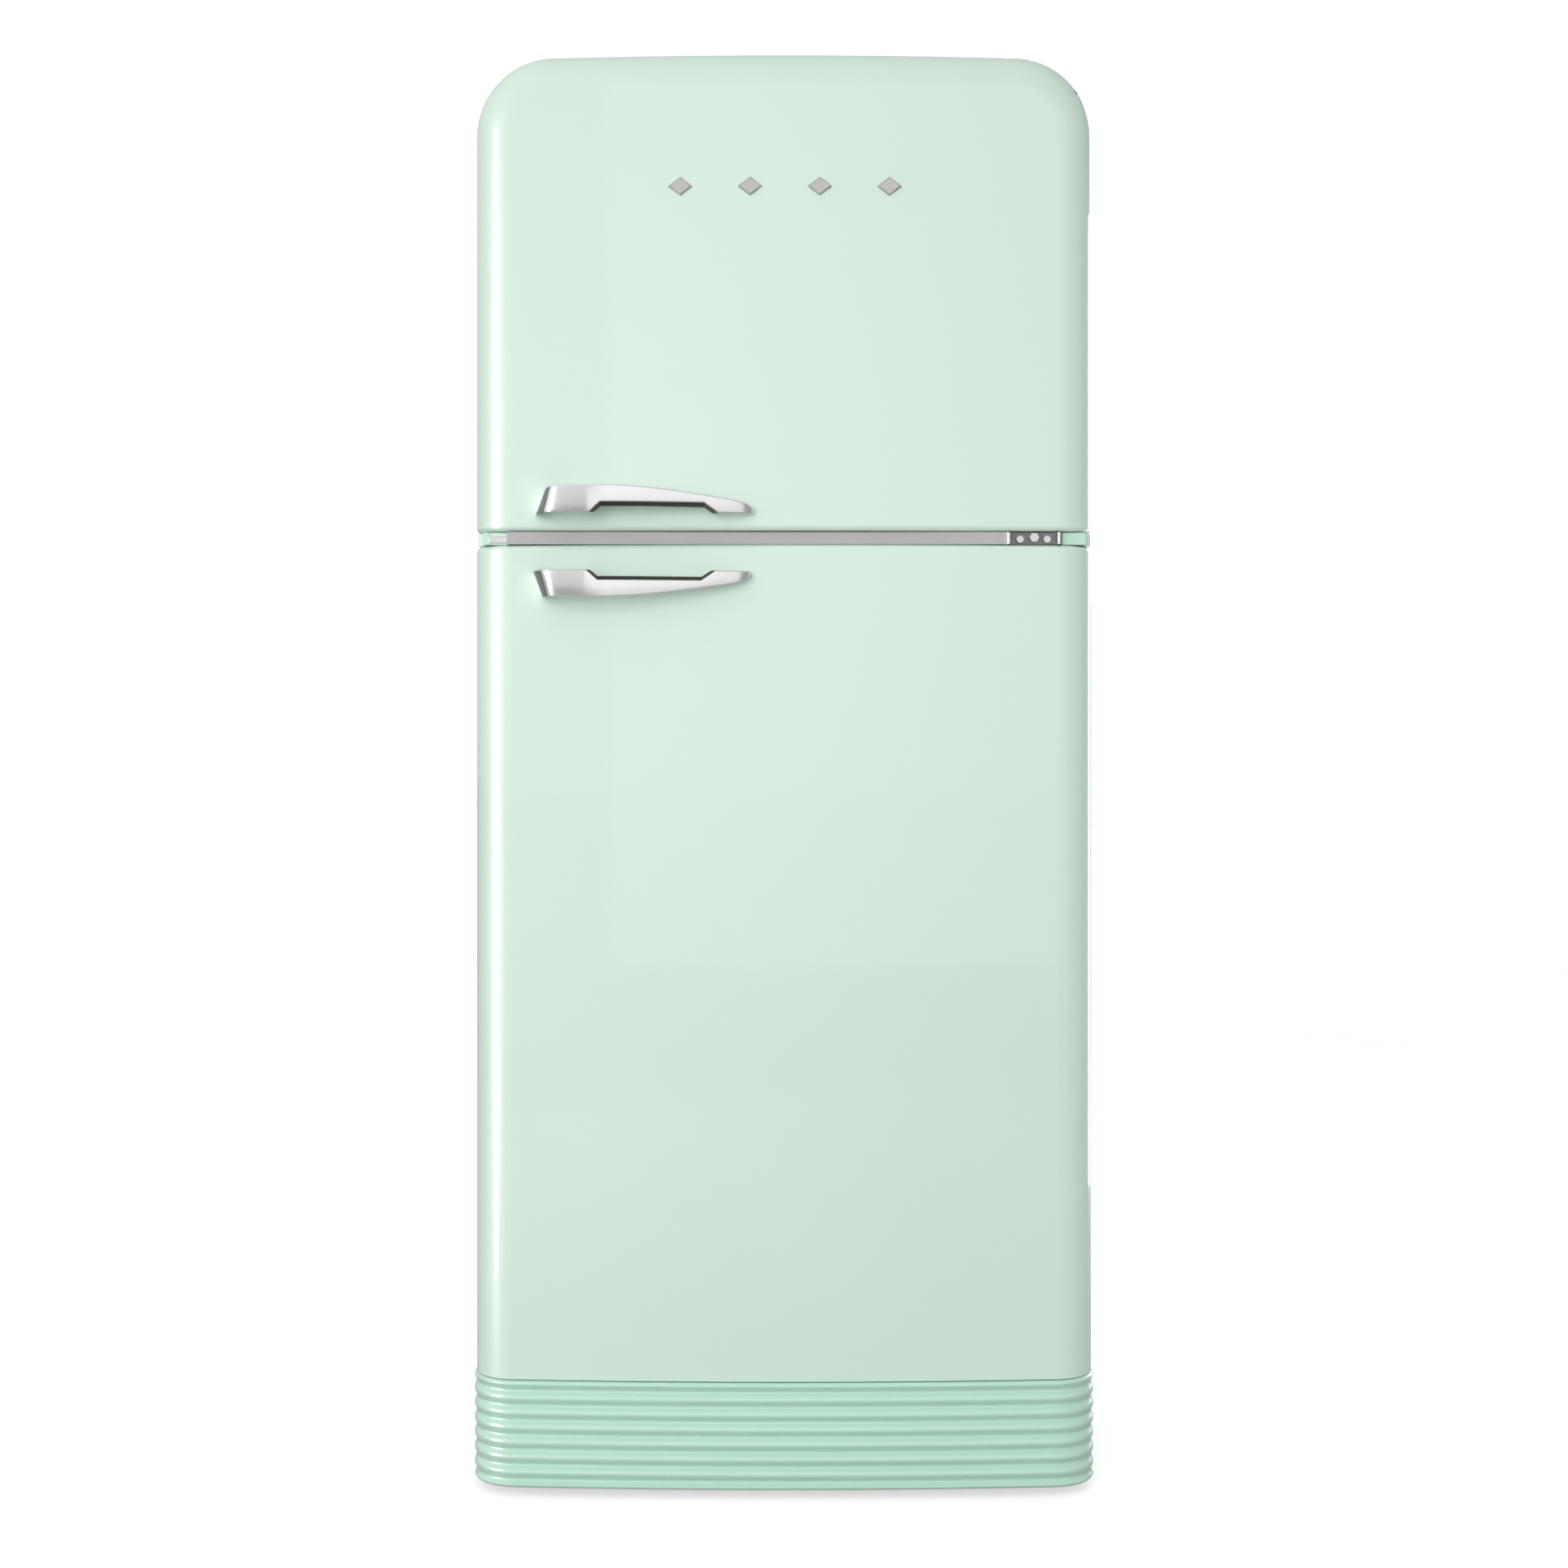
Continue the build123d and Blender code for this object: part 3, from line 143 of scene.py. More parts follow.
# ---- materials ----
def paint(name, color, deeper, gloss=0.04):
    """Baked gloss enamel: faint orange peel under a clear reflection, and a slightly uneven film."""
    m = Shade(name, color, 0.4, Coat_Weight=1.0, Coat_Roughness=gloss, Coat_IOR=1.5)
    m.tint(m.noise(1.1, 1), deeper, 0.2, 0.8)
    m.rough(m.noise(5, 2), 0.36, 0.44)
    m.bump(m.noise(160, 1), 0.00002, 0.12, coat=True)
    return m.material


def polished(name, color, low, high):
    """Chrome plate: wiping marks in the gloss and a barely uneven casting below."""
    m = Shade(name, color, low, 1.0)
    m.rough(m.noise(60, 6, 0.7), low, high)
    m.bump(m.noise(90, 2), 0.00004, 0.15)
    return m.material


def brushed(name, color, roughness, stretch):
    """Satin metal with fine grain lines along one axis."""
    m = Shade(name, color, roughness, 1.0, Anisotropic=0.4)
    grain = m.noise(1.0, 4, 0.6, m.stretched(stretch))
    m.rough(grain, roughness - 0.08, roughness + 0.1)
    m.tint(grain, tuple(0.8 * c for c in color), 0.4, 0.75)
    m.bump(grain, 0.00002, 0.4)
    return m.material


def zinc(name, color):
    """Hot-dip galvanised sheet: crystals of slightly different grey and gloss."""
    m = Shade(name, color, 0.4, 0.9)
    crystals = m.cells(110)
    shade = m.noise(3.0, 0, where=crystals.outputs["Color"])
    m.tint(shade, tuple(0.9 * c for c in color), 0.3, 0.7)
    m.rough(shade, 0.4, 0.5)
    m.bump(m.noise(500, 3), 0.00003, 0.3)
    return m.material


def plastic(name, color, roughness, grain=0.00004, scale=900, other=None, **shader):
    """Moulded plastic: spark-eroded grain, and slow changes of tone."""
    m = Shade(name, color, roughness, **shader)
    m.tint(m.noise(9, 3), other or tuple(0.93 * c for c in color), 0.35, 0.75)
    m.rough(m.noise(30, 4), roughness * 0.85, min(1.0, roughness * 1.2))
    m.bump(m.noise(scale, 2), grain, 0.5)
    return m.material


def clear(name, color, roughness, ior, scale=14):
    """Glass or clear plastic, with faint flow lines in its surface."""
    m = Shade(name, color, roughness, Transmission_Weight=0.93, IOR=ior)
    m.rough(m.noise(22, 5), roughness, roughness + 0.05)
    m.bump(m.noise(scale, 2), 0.0002, 0.08)
    return m.material


def rubber(name, color):
    """Door seal rubber: matt, dusty in patches, with a fine skin."""
    m = Shade(name, color, 0.6, Sheen_Weight=0.15)
    m.tint(m.noise(25, 4), tuple(0.86 * c for c in color), 0.4, 0.7)
    m.rough(m.noise(60, 3), 0.5, 0.72)
    m.bump(m.noise(700, 3), 0.00006, 0.5)
    return m.material


def foam(name, color):
    """Rigid polyurethane: open pores and darker skin."""
    m = Shade(name, color, 0.9)
    m.tint(m.noise(14, 5), (0.55, 0.42, 0.2), 0.4, 0.8)
    pores = m.cells(700).outputs["Distance"]
    m.bump(pores, 0.0004, 0.8)
    m.rough(m.noise(40, 3), 0.8, 0.97)
    return m.material


MINT = (0.62, 0.785, 0.68)
MINT_DEEP = (0.605, 0.775, 0.665)
# A mint deeper than the doors': painted shade for the light falling off towards the floor on the skirt, and for the
# shadowed gap on the rail caps.
SHADED_SKIRT_MINT = (0.49, 0.725, 0.60)
SHADED_SKIRT_DEEP = (0.47, 0.71, 0.585)
MATERIALS = {
    "mint_paint": paint("mint_paint", MINT, MINT_DEEP),
    "shell_paint": paint("shell_paint", MINT, MINT_DEEP, 0.18),
    "painted_shade_mint": paint("painted_shade_mint", SHADED_SKIRT_MINT, SHADED_SKIRT_DEEP, 0.32),
    "galvanised_steel": zinc("galvanised_steel", (0.56, 0.57, 0.58)),
    "chrome": polished("chrome", (0.72, 0.72, 0.72), 0.17, 0.23),
    "satin_badge": brushed("satin_badge", (0.47, 0.46, 0.44), 0.34, (60, 60, 2500)),
    "foam": foam("foam", (0.78, 0.62, 0.32)),
    "white_liner": plastic("white_liner", (0.84, 0.86, 0.86), 0.55, 0.00003, 700),
    "grey_rail": plastic("grey_rail", (0.44, 0.43, 0.43), 0.4, 0.00003, 1100),
    "gasket_rubber": rubber("gasket_rubber", (0.62, 0.64, 0.63)),
    "shelf_glass": clear("shelf_glass", (0.86, 0.97, 0.93), 0.01, 1.52, 4),
    "clear_plastic": clear("clear_plastic", (0.86, 0.95, 0.98), 0.04, 1.49),
    "ice_tray_plastic": plastic("ice_tray_plastic", (0.35, 0.6, 0.72), 0.3, Transmission_Weight=0.35),
    "bush_plastic": plastic("bush_plastic", (0.82, 0.81, 0.76), 0.4),
    "light_lens": plastic("light_lens", (0.92, 0.93, 0.9), 0.25, Transmission_Weight=0.4),
    "button_grey": plastic("button_grey", (0.42, 0.44, 0.45), 0.35),
    "fin_aluminium": brushed("fin_aluminium", (0.78, 0.79, 0.8), 0.35, (900, 900, 40)),
    "black_paint": plastic("black_paint", (0.012, 0.012, 0.013), 0.38, 0.00008, 500, (0.03, 0.03, 0.032)),
    "dark_plastic": plastic("dark_plastic", (0.025, 0.026, 0.028), 0.5, 0.00006, 800, (0.045, 0.045, 0.047)),
    "roller_nylon": plastic("roller_nylon", (0.06, 0.06, 0.062), 0.45, 0.00006, 800),
    "foot_steel": zinc("foot_steel", (0.6, 0.6, 0.58)),
    # Near-black steel for the handles' notch sides and left-end band: painted shade and a painted dark reflection.
    "painted_shade_steel": brushed("painted_shade_steel", (0.11, 0.105, 0.1), 0.42, (20, 500, 500)),
    "hinge_steel": brushed("hinge_steel", (0.2, 0.2, 0.195), 0.42, (30, 700, 700)),
    "screw_steel": polished("screw_steel", (0.6, 0.6, 0.59), 0.25, 0.38),
}

SLOT_OF = {row["node"]: row["material_slot"] for row in frame["record"]["subparts"]}
# CAD nodes whose finish differs from the one their slot is named after
OWN_FINISH = {"middle_hinge": "hinge_steel", "hinge_screws": "screw_steel", "outer_shell": "shell_paint"}
for node_name, node in nodes.items():
    if len(node.material_slots) == 0:
        node.data.materials.append(None)
    for place in node.material_slots:
        place.material = MATERIALS[OWN_FINISH.get(node_name, SLOT_OF[node_name])]


# ---- mesh building ----
def piece(name, vertices, faces, slot, body, smooth_angle, finish=None):
    """A closed mesh that rides on a body, in a slot's finish or in its own."""
    mesh = bpy.data.meshes.new(name)
    mesh.from_pydata([tuple(v) for v in vertices], [], faces)
    mesh.validate()
    work = bmesh.new()
    work.from_mesh(mesh)
    bmesh.ops.recalc_face_normals(work, faces=work.faces)
    work.to_mesh(mesh)
    work.free()
    mesh.shade_smooth()
    mesh.set_sharp_from_angle(angle=math.radians(smooth_angle))
    obj = bpy.data.objects.new(name, mesh)
    scene.collection.objects.link(obj)
    mesh.materials.append(MATERIALS[finish or slot])
    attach(obj, body)
    return obj


def loft(sections):
    """Vertices and faces of a closed solid through rings of equal length, with a cap at each end."""
    count = len(sections[0])
    vertices = [point for ring in sections for point in ring]
    faces = []
    for row in range(len(sections) - 1):
        for k in range(count):
            here = row * count + k
            beside = row * count + (k + 1) % count
            faces.append((here, beside, beside + count, here + count))
    faces.append(tuple(range(count)))
    last = (len(sections) - 1) * count
    faces.append(tuple(last + k for k in reversed(range(count))))
    return vertices, faces


def along(line, u):
    """A smooth value at u on a line of (u, value) points."""
    if u <= line[0][0]:
        return line[0][1]
    for k in range(len(line) - 1):
        (u0, a), (u1, b) = line[k], line[k + 1]
        if u <= u1:
            before = line[k - 1] if k > 0 else (2 * u0 - u1, 2 * a - b)
            after = line[k + 2] if k + 2 < len(line) else (2 * u1 - u0, 2 * b - a)
            slope0 = (b - before[1]) / (u1 - before[0])
            slope1 = (after[1] - a) / (after[0] - u0)
            t = (u - u0) / (u1 - u0)
            h = u1 - u0
            return (
                a * (1 + 2 * t) * (1 - t) ** 2 + slope0 * h * t * (1 - t) ** 2
                + b * t * t * (3 - 2 * t) + slope1 * h * t * t * (t - 1)
            )
    return line[-1][1]


def corner(centre, radius, start, end, steps=4):
    """Points of an arc between two angles in degrees, in the (y, v) plane of a handle's section."""
    points = []
    for k in range(steps + 1):
        angle = math.radians(start + (end - start) * k / steps)
        points.append((centre[0] + radius * math.cos(angle), centre[1] + radius * math.sin(angle)))
    return points


BAR_CHAMFER = 0.4                 # broken edge at a bar's two ends
BAR_SHARE = 0.2                   # and never more than this share of its length


def bar(name, x, y, z, slot, finish=None, facets=4, turn=45):
    """A straight prism along y on the cabinet, with chamfered ends, as a box or as a regular polygon."""
    cx, cz = (x[0] + x[1]) / 2, (z[0] + z[1]) / 2
    half = ((x[1] - x[0]) / 2, (z[1] - z[0]) / 2)
    # a box is given by its sides, a polygon by its corners
    grow = 1 / math.cos(math.pi / facets) if facets == 4 else 1
    chamfer = min(BAR_CHAMFER, BAR_SHARE * (y[1] - y[0]))
    sections = []
    for depth, inset in ((y[0], chamfer), (y[0] + chamfer, 0), (y[1] - chamfer, 0), (y[1], chamfer)):
        ring = []
        for k in range(facets):
            angle = math.radians(turn + 360 * k / facets)
            ring.append((
                (cx + (half[0] - inset) * grow * math.cos(angle)) * MM, depth * MM,
                (cz + (half[1] - inset) * grow * math.sin(angle)) * MM,
            ))
        sections.append(ring)
    vertices, faces = loft(sections)
    piece(name, vertices, faces, slot, "cabinet", 30, finish)


# ---- handles: a chrome wing with a slanted left end and a finger notch ----
BOW_R = 5260                      # the doors' bow, as in the CAD, in millimetres
DOOR_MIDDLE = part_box("freezer_door_skin")[0].y / MM
HANDLE_SLANT = 13                 # the left end leans over this much
HANDLE_DRAFT = 6                  # the long edges draw in this much towards the door
SLANT_LENGTH = 70                 # the lean fades out over this length
SLANT_HEIGHT = 33                 # height at which the lean is measured
SUNK = 0.6                        # the back of the handle stands this deep in the door's skin
# Along the handle from its left end: Y of its front, height of its far edge, and the notch's height.
HANDLE_FRONT = (
    (0, -352), (2, -364), (6, -378), (12, -390), (16, -395), (24, -400), (45, -403.4), (70, -405.8), (100, -406.6),
    (130, -404.5), (160, -400.5), (195, -395), (235, -387.5), (258, -382), (272, -377), (280, -371), (283, -362),
)
HANDLE_TOP = (
    (0, 31), (3, 32.6), (12, 33.2), (40, 34), (80, 34.6), (120, 33.8), (164, 30.2), (205, 25), (236, 20.6),
    (257, 17.2), (271, 13.5), (280, 8.5), (283, 4),
)
NOTCH = ((73, 0), (87, 12.5), (219, 12.5), (237, 0))
NOTCH_BEVEL = (4.6, 8)            # height and depth of the bevel along the notch
BEVEL_TURN = 35                   # degrees by which the front edge's arc stops short of the bevel
# The hollow behind the handle that the fingers reach into: Y of its front side, its length and its height.
FINGER_SIDE = (
    (62, -350), (72, -378), (82, -391), (116, -393.5), (156, -389), (196, -380), (218, -371), (244, -357),
)
FINGER_RANGE = (63, 243)
FINGER_TOP = 19
CEILING_SHARE = 0.7               # the hollow is never higher than this share of the handle
HOLLOW_R = 0.4                    # broken edge round the hollow
EDGE_R = 1.8
EDGE_SHARE = 0.2                  # the edge radius is never more than this share of the handle
# The notch's sides take the dark steel, as painted shade.
SHADED_NOTCH_FACES = (9, 10, 11)         # sides of a section that line the notch
# The band round the left end takes the dark steel, as a painted dark reflection.
DARK_REFLECTION_BAND = (2.5, 14)              # dark band round the left end


def door_y(x):
    """Y of the doors' bowed front at x, in millimetres."""
    return DOOR_MIDDLE + BOW_R - math.sqrt(BOW_R**2 - x**2)


def notch_height(u):
    """Height of the finger notch at u, on straight lines."""
    for (u0, a), (u1, b) in zip(NOTCH, NOTCH[1:]):
        if u0 <= u <= u1:
            t = (u - u0) / (u1 - u0)
            return a + (b - a) * t
    return 0


HANDLE_STEPS = [0, 0.7, 1.5, 2.5, 4, 6, 8, 10, 12, 14.5, 17, 20, 24, 29, 35, 42, 50, 57, 62, 64, 66, 69, 73, 77, 81]
HANDLE_STEPS += [84, 87] + list(range(93, 214, 6)) + [219, 223, 227, 231, 234, 237, 240, 242, 244, 249, 254, 258]
HANDLE_STEPS += [262, 266, 270, 273, 276, 278, 280, 281.4, 282.4, 283]


def handle(name, node, left, edge, up, body):
    """A handle from cross-sections along it, measured away from its straight edge (up is 1 or -1)."""
    sections = []
    for u in HANDLE_STEPS:
        front = along(HANDLE_FRONT, u)
        top = along(HANDLE_TOP, u)
        bottom = notch_height(u)
        bevel = min(1.0, bottom / NOTCH_BEVEL[0])
        low = bottom - bevel * NOTCH_BEVEL[0]
        skin = door_y(left + u) + SUNK
        finger = skin - 2 * HOLLOW_R
        ceiling = min(FINGER_TOP, top * CEILING_SHARE)
        if FINGER_RANGE[0] < u < FINGER_RANGE[1]:
            finger = min(finger, along(FINGER_SIDE, u))
        radius = min(EDGE_R, EDGE_SHARE * (skin - front), EDGE_SHARE * top)
        ring = corner((front + radius, top - radius), radius, 90, 180)
        ring += corner((front + radius, bottom + radius), radius, 180, 270 - BEVEL_TURN * bevel)
        chamfer = min(front + NOTCH_BEVEL[1] * max(bevel, 0.3), finger - 1.0)
        rear = low + HANDLE_DRAFT * (1 - bevel)
        ring += [(max(chamfer, front + 1.2 * radius), low)]
        ring += [(finger - HOLLOW_R, rear), (finger, rear + HOLLOW_R), (finger, ceiling - 0.3)]
        ring += [(skin, ceiling), (skin, max(top - HANDLE_DRAFT, ceiling + 0.5))]
        slant = HANDLE_SLANT * max(0.0, 1 - u / SLANT_LENGTH) ** 2 / SLANT_HEIGHT
        sections.append([((left + u + slant * v) * MM, y * MM, (edge + up * v) * MM) for y, v in ring])
    vertices, faces = loft(sections)
    made = piece(name, vertices, faces, "chrome", body, 28)
    # A second finish of dark steel: painted shade along the notch, and a painted dark reflection round the left
    # end.
    made.data.materials.append(MATERIALS["painted_shade_steel"])
    count = len(sections[0])
    for row, u in enumerate(HANDLE_STEPS[:-1]):
        for k in range(count):
            in_shaded_notch = NOTCH[0][0] <= u < NOTCH[-1][0] and k in SHADED_NOTCH_FACES
            if in_shaded_notch or DARK_REFLECTION_BAND[0] <= u < DARK_REFLECTION_BAND[1]:
                made.data.polygons[row * count + k].material_index = 1
    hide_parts(node)


handle("freezer_grip", "freezer_handle", -322.5, 1269, 1, "freezer_door")
handle("fridge_grip", "fridge_handle", -326, 1195.5, -1, "fridge_door")

# ---- plinth skirt: seven soft waves round the front and both sides ----
SKIRT_BOTTOM, SKIRT_TOP = 12, 149.4
SKIRT_R = 62
SKIRT_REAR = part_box("plinth_skirt")[1].y / MM
SKIRT_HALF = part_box("plinth_skirt")[1].x / MM
SKIRT_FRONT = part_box("plinth_skirt")[0].y / MM
WAVE_PITCH = 19.2
WAVE_LOW = 22                     # height of the lowest groove
WAVE_COUNT = 7
WAVE_DEPTH = 6.5
WAVE_SHARPNESS = 1.3
WAVE_SIDE_SHARE = 0.4             # depth of the waves on the sides, as a share of the front's
SKIRT_WALL = 12
WAVE_STEP = 1.2                   # height between two points of the section
ARC_STEPS = 24                    # points round a corner, and along half of the bowed front
BOW_STEPS = 12
CABINET_FRONT = -257              # the plate behind the skirt's top edge ends here


def skirt_plan():
    """Points and outward directions along the skirt's outer line, from rear left to rear right."""
    bow_y = SKIRT_FRONT + BOW_R
    side_x = SKIRT_HALF - SKIRT_R
    arc_y = bow_y - math.sqrt((BOW_R - SKIRT_R) ** 2 - side_x**2)
    turn = math.degrees(math.atan2(side_x, bow_y - arc_y))
    half = []
    for y in (SKIRT_REAR, 200, 50, -100, -200):
        half.append(((-SKIRT_HALF, y), (-1.0, 0.0)))
    for k in range(ARC_STEPS + 1):
        angle = math.radians(180 + (90 - turn) * k / ARC_STEPS)
        out = (math.cos(angle), math.sin(angle))
        half.append(((-side_x + SKIRT_R * out[0], arc_y + SKIRT_R * out[1]), out))
    for k in range(1, BOW_STEPS):
        angle = math.radians(turn * (1 - k / BOW_STEPS))
        out = (-math.sin(angle), -math.cos(angle))
        half.append(((BOW_R * out[0], bow_y + BOW_R * out[1]), out))
    middle = [((0.0, SKIRT_FRONT), (0.0, -1.0))]
    return half + middle + [((-p[0], p[1]), (-d[0], d[1])) for p, d in reversed(half)]


def skirt_section(depth):
    """Inset and height round the skirt's wall, starting at its bottom edge."""
    section = [(SKIRT_WALL, SKIRT_BOTTOM), (3.2, SKIRT_BOTTOM)]
    section += [(1.2, SKIRT_BOTTOM + 1), (0.2, SKIRT_BOTTOM + 3.4)]
    z = SKIRT_BOTTOM + 6.0
    while z < SKIRT_TOP - 2.5:
        wave = 0.5 + 0.5 * math.cos(2 * math.pi * (z - WAVE_LOW) / WAVE_PITCH)
        in_waves = WAVE_LOW - WAVE_PITCH / 2 < z < WAVE_LOW + (WAVE_COUNT - 0.5) * WAVE_PITCH
        section.append((depth * wave**WAVE_SHARPNESS if in_waves else 0.0, z))
        z += WAVE_STEP
    section += [(1.4, SKIRT_TOP - 1.2), (3.5, SKIRT_TOP)]
    return section + [(SKIRT_WALL - 1, SKIRT_TOP), (SKIRT_WALL, SKIRT_TOP - 1)]


def plinth_skirt():
    """The waved skirt, and the flat plate that closes it in front of the cabinet."""
    plan = skirt_plan()
    sections = []
    for (x, y), out in plan:
        depth = WAVE_DEPTH * (WAVE_SIDE_SHARE + (1 - WAVE_SIDE_SHARE) * out[1] ** 2)
        sections.append([
            ((x - inset * out[0]) * MM, (y - inset * out[1]) * MM, z * MM)
            for inset, z in skirt_section(depth)
        ])
    vertices, faces = loft(sections)
    # The skirt wears the deeper mint, as painted shade for the dimmer light low down.
    made = piece("waved_plinth", vertices, faces, "mint_paint", "cabinet", 60, "painted_shade_mint")
    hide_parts("plinth_skirt")
    inset = SKIRT_WALL - 0.5
    edge = [(x - inset * out[0], y - inset * out[1]) for (x, y), out in plan if y < CABINET_FRONT]
    edge = [(edge[0][0], CABINET_FRONT)] + edge + [(edge[-1][0], CABINET_FRONT)]
    rings = [[(x * MM, y * MM, z * MM) for x, y in edge] for z in (SKIRT_TOP - 3, SKIRT_TOP - 0.2)]
    vertices, faces = loft(rings)
    piece("plinth_top_plate", vertices, faces, "mint_paint", "cabinet", 30)


plinth_skirt()


# ---- middle hinge and the ends of the centre rail ----
GAP = (1232.4, 1247.6)            # Z of the gap between the doors
EDGE_Y = (-347.2, -344)
CAP_Y = (-334, -331)
bar("rail_tip_left", (-383, -360), (-336, -332), (1234.5, 1242.5), "chrome")
bar("hinge_edge_inner", (288.5, 291.7), EDGE_Y, GAP, "chrome")
bar("hinge_edge_outer", (353.8, 357), EDGE_Y, GAP, "chrome")
# Thin plates in the deeper mint on the rail's ends: painted shade where the gap between the doors lies in shadow.
bar("shaded_rail_cap_left", (-392, -383), CAP_Y, GAP, "mint_paint", "painted_shade_mint")
bar("shaded_rail_cap_right", (361, 392), CAP_Y, GAP, "mint_paint", "painted_shade_mint")

# ---- pressed back: beads, screws and the flanges beside the lower grille ----
PANEL_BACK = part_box("back_panel")[1].y / MM
GRILLE_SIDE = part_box("compressor_grille")[1].x / MM
SHELL_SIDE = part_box("cabinet_insulation")[1].x / MM
BEAD_HALF = 310
BEAD_HEIGHT = 14
BEAD_Z = (520, 610, 860, 1100, 1340, 1700, 1780)
SCREW_HALF = 4.5
SCREW_COLUMN_X = 391
SCREW_COLUMN_Z = (410, 236, 6)    # lowest screw, pitch, count
SCREW_ROW_X = (-250, 125, 5)      # leftmost screw, pitch, count
SCREW_ROW_Z = 1858
FLANGE_Z = (151, 383.6)


def spaced(first, pitch, count):
    """Evenly spaced places."""
    return [first + pitch * k for k in range(count)]


bead_y = (PANEL_BACK - 0.2, PANEL_BACK + 1.4)
for k, low in enumerate(BEAD_Z):
    bar("back_bead_%d" % (k + 1), (-BEAD_HALF, BEAD_HALF), bead_y, (low, low + BEAD_HEIGHT), "galvanised_steel")
screw_places = [(side * SCREW_COLUMN_X, z) for side in (-1, 1) for z in spaced(*SCREW_COLUMN_Z)]
screw_places += [(x, SCREW_ROW_Z) for x in spaced(*SCREW_ROW_X)]
screw_y = (PANEL_BACK - 0.2, PANEL_BACK + 1.8)
for k, (x, z) in enumerate(screw_places):
    screw_x = (x - SCREW_HALF, x + SCREW_HALF)
    screw_z = (z - SCREW_HALF, z + SCREW_HALF)
    bar("back_screw_%02d" % (k + 1), screw_x, screw_y, screw_z, "foot_steel", facets=12, turn=15)
for side, name in ((-1, "rear_flange_left"), (1, "rear_flange_right")):
    across = sorted((side * (GRILLE_SIDE + 0.6), side * (SHELL_SIDE + 1)))
    bar(name, across, (PANEL_BACK - 1.1, PANEL_BACK), FLANGE_Z, "galvanised_steel")

# ---- front trims of the shelves ----
SHELF_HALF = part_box("fridge_shelves")[1].x / MM - 1
SHELF_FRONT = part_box("fridge_shelves")[0].y / MM
TRIM_HALF = 3.6
SHELF_MIDDLES = (577, 762, 987, 1534)
trim_y = (SHELF_FRONT - 2.5, SHELF_FRONT + 4)
for k, z in enumerate(SHELF_MIDDLES):
    bar("shelf_trim_%d" % (k + 1), (-SHELF_HALF, SHELF_HALF), trim_y, (z - TRIM_HALF, z + TRIM_HALF), "white_liner")

# ---- four rising level bars between the buttons of the control panel ----
PANEL_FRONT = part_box("control_panel")[0].y / MM
MARK_X = (-10, 6, 4)              # leftmost mark, pitch, count
MARK_WIDTH = 3
MARK_BOTTOM = 1181
MARK_HEIGHT, MARK_RISE = 4, 2.4   # height of the first mark, and how much each next one adds
mark_y = (PANEL_FRONT - 0.5, PANEL_FRONT + 0.3)
for k, left in enumerate(spaced(*MARK_X)):
    mark_z = (MARK_BOTTOM, MARK_BOTTOM + MARK_HEIGHT + MARK_RISE * k)
    bar("level_mark_%d" % (k + 1), (left, left + MARK_WIDTH), mark_y, mark_z, "button_grey")

# ---- camera at the photograph's angle ----
CAMERA_X = -0.05
CAMERA_Z = 1.0
CAMERA_DISTANCE = 3.0
door_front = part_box("freezer_door_skin")[0].y

camera_data = bpy.data.cameras.new("camera")
camera = bpy.data.objects.new("camera", camera_data)
scene.collection.objects.link(camera)
camera.location = (CAMERA_X, door_front - CAMERA_DISTANCE, CAMERA_Z)
camera.rotation_euler = (math.radians(90), 0, 0)
camera_data.sensor_width = 36
camera_data.lens = 53.4
camera_data.shift_x = 0.0242
camera_data.shift_y = -0.0386
camera_data.clip_end = 60
scene.camera = camera

# ---- studio ----
scene.view_settings.view_transform = "Standard"


def studio_world():
    """Soft light from all round, brighter in front and above; a plain white backdrop for the camera."""
    world = bpy.data.worlds.new("studio")
    scene.world = world
    world.use_nodes = True
    tree = world.node_tree
    tree.nodes.clear()
    output = tree.nodes.new("ShaderNodeOutputWorld")
    where = tree.nodes.new("ShaderNodeTexCoord")
    split = tree.nodes.new("ShaderNodeSeparateXYZ")
    tree.links.new(where.outputs["Generated"], split.inputs[0])

    def ramp(axis, low, high):
        node = tree.nodes.new("ShaderNodeMapRange")
        node.interpolation_type = "SMOOTHSTEP"
        node.inputs["From Min"].default_value = -1
        node.inputs["From Max"].default_value = 1
        node.inputs["To Min"].default_value = low
        node.inputs["To Max"].default_value = high
        tree.links.new(split.outputs[axis], node.inputs["Value"])
        return node.outputs["Result"]

    def times(a, b):
        node = tree.nodes.new("ShaderNodeMath")
        node.operation = "MULTIPLY"
        tree.links.new(a, node.inputs[0])
        tree.links.new(b, node.inputs[1])
        return node.outputs[0]

    strength = times(times(ramp("X", 1.12, 0.55), ramp("Y", 0.84, 0.6)), ramp("Z", 0.6, 1.3))
    lighting = tree.nodes.new("ShaderNodeBackground")
    tree.links.new(strength, lighting.inputs["Strength"])
    lighting.inputs["Color"].default_value = (1, 1, 1, 1)
    backdrop = tree.nodes.new("ShaderNodeBackground")
    backdrop.inputs["Color"].default_value = (1, 1, 1, 1)
    path = tree.nodes.new("ShaderNodeLightPath")
    choice = tree.nodes.new("ShaderNodeMixShader")
    tree.links.new(path.outputs["Is Camera Ray"], choice.inputs[0])
    tree.links.new(lighting.outputs[0], choice.inputs[1])
    tree.links.new(backdrop.outputs[0], choice.inputs[2])
    tree.links.new(choice.outputs[0], output.inputs["Surface"])


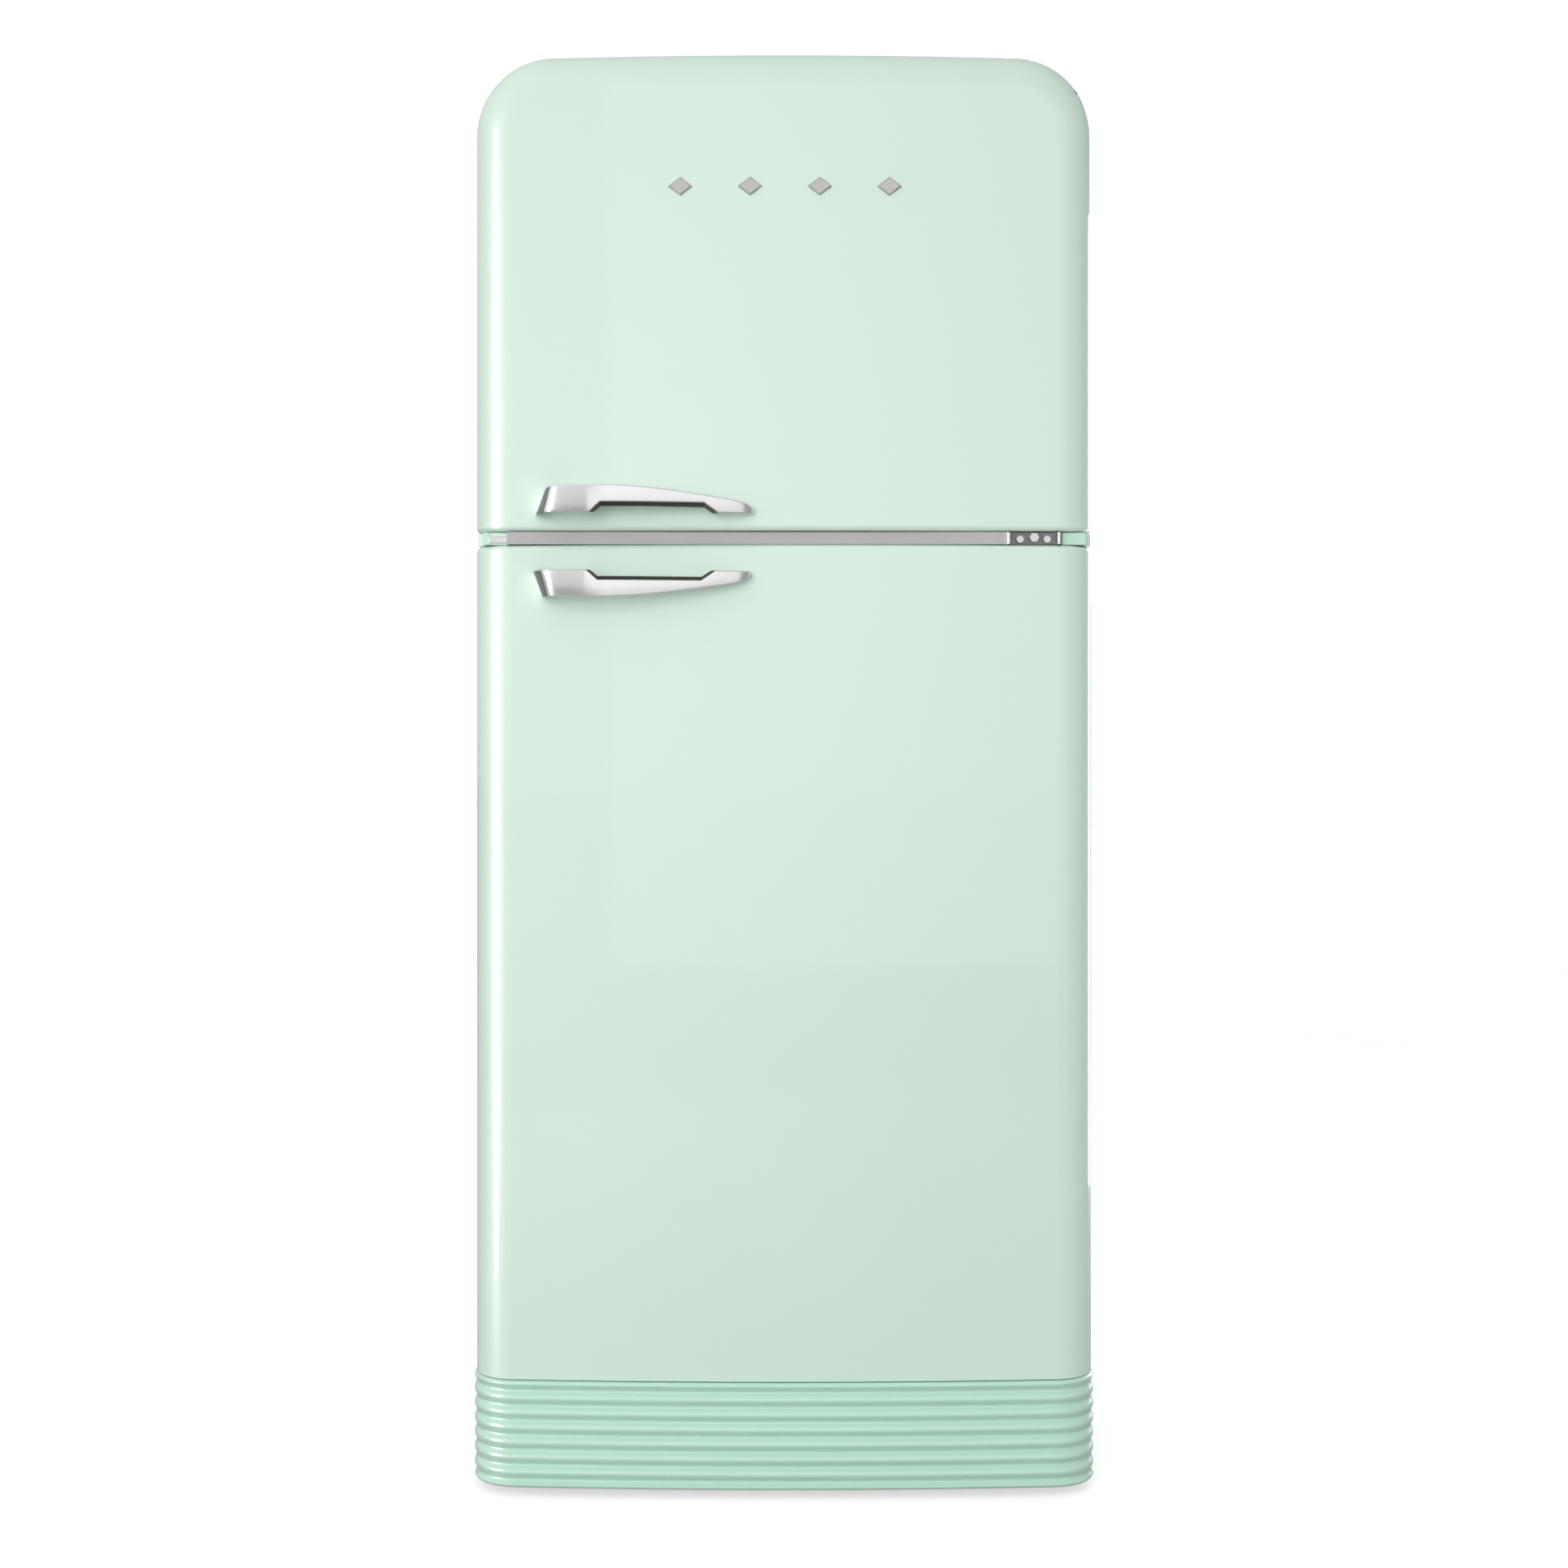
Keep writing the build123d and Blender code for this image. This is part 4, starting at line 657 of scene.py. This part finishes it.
def softbox(name, place, aim, size, power, diffuse=True, glossy=True, spread=180):
    """A rectangular lamp that the camera doesn't see; spread is in degrees."""
    data = bpy.data.lights.new(name, "AREA")
    data.shape = "RECTANGLE"
    data.size, data.size_y = size
    data.energy = power
    data.spread = math.radians(spread)
    lamp = bpy.data.objects.new(name, data)
    scene.collection.objects.link(lamp)
    lamp.location = place
    lamp.rotation_euler = (Vector(aim) - Vector(place)).to_track_quat("-Z", "Y").to_euler()
    lamp.visible_camera = False
    lamp.visible_diffuse = diffuse
    lamp.visible_glossy = glossy


studio_world()
softbox("key", (-0.9, -3.4, 1.5), (0, -0.3, 0.95), (2.2, 1.8), 45.5, glossy=False)
softbox("front_wall", (1.5, -3.9, 2.0), (1.5, -0.3, 1.8), (4.5, 3.4), 28, diffuse=False)
softbox("rim_strip", (1.7, 1.2, 1.05), (0.4, -0.3, 1.05), (0.8, 2.1), 14, diffuse=False)
softbox("side_fill", (2.4, -0.5, 1.2), (0.4, -0.3, 1.0), (1.2, 2.0), 6, glossy=False)
softbox("edge_strip", (-1.4, -0.97, 1.05), (-0.4, -0.79, 1.05), (0.25, 2.1), 20, diffuse=False, spread=80)
softbox("back_fill", (1.6, 3.0, 2.2), (0, 0.3, 1.0), (1.8, 1.8), 30)

# ---- plain pale floor, lifted to white for the camera ----
bpy.ops.mesh.primitive_plane_add(size=60, location=(0, 0, 0))
floor = bpy.context.object
floor.name = "floor"
floor_paint = Shade("floor_paint", (0.5, 0.5, 0.5), 0.8)
floor_paint.tint(floor_paint.noise(0.8, 3), (0.48, 0.48, 0.48))
glow = floor_paint.add("ShaderNodeEmission")
glow.inputs["Strength"].default_value = 0.62
sight = floor_paint.add("ShaderNodeLightPath")
lit = floor_paint.add("ShaderNodeAddShader")
seen = floor_paint.add("ShaderNodeMixShader")
floor_paint.link(floor_paint.bsdf.outputs[0], lit.inputs[0])
floor_paint.link(glow.outputs[0], lit.inputs[1])
floor_paint.link(sight.outputs["Is Camera Ray"], seen.inputs[0])
floor_paint.link(floor_paint.bsdf.outputs[0], seen.inputs[1])
floor_paint.link(lit.outputs[0], seen.inputs[2])
floor_output = next(n for n in floor_paint.tree.nodes if n.type == "OUTPUT_MATERIAL")
floor_paint.link(seen.outputs[0], floor_output.inputs["Surface"])
floor.data.materials.append(floor_paint.material)
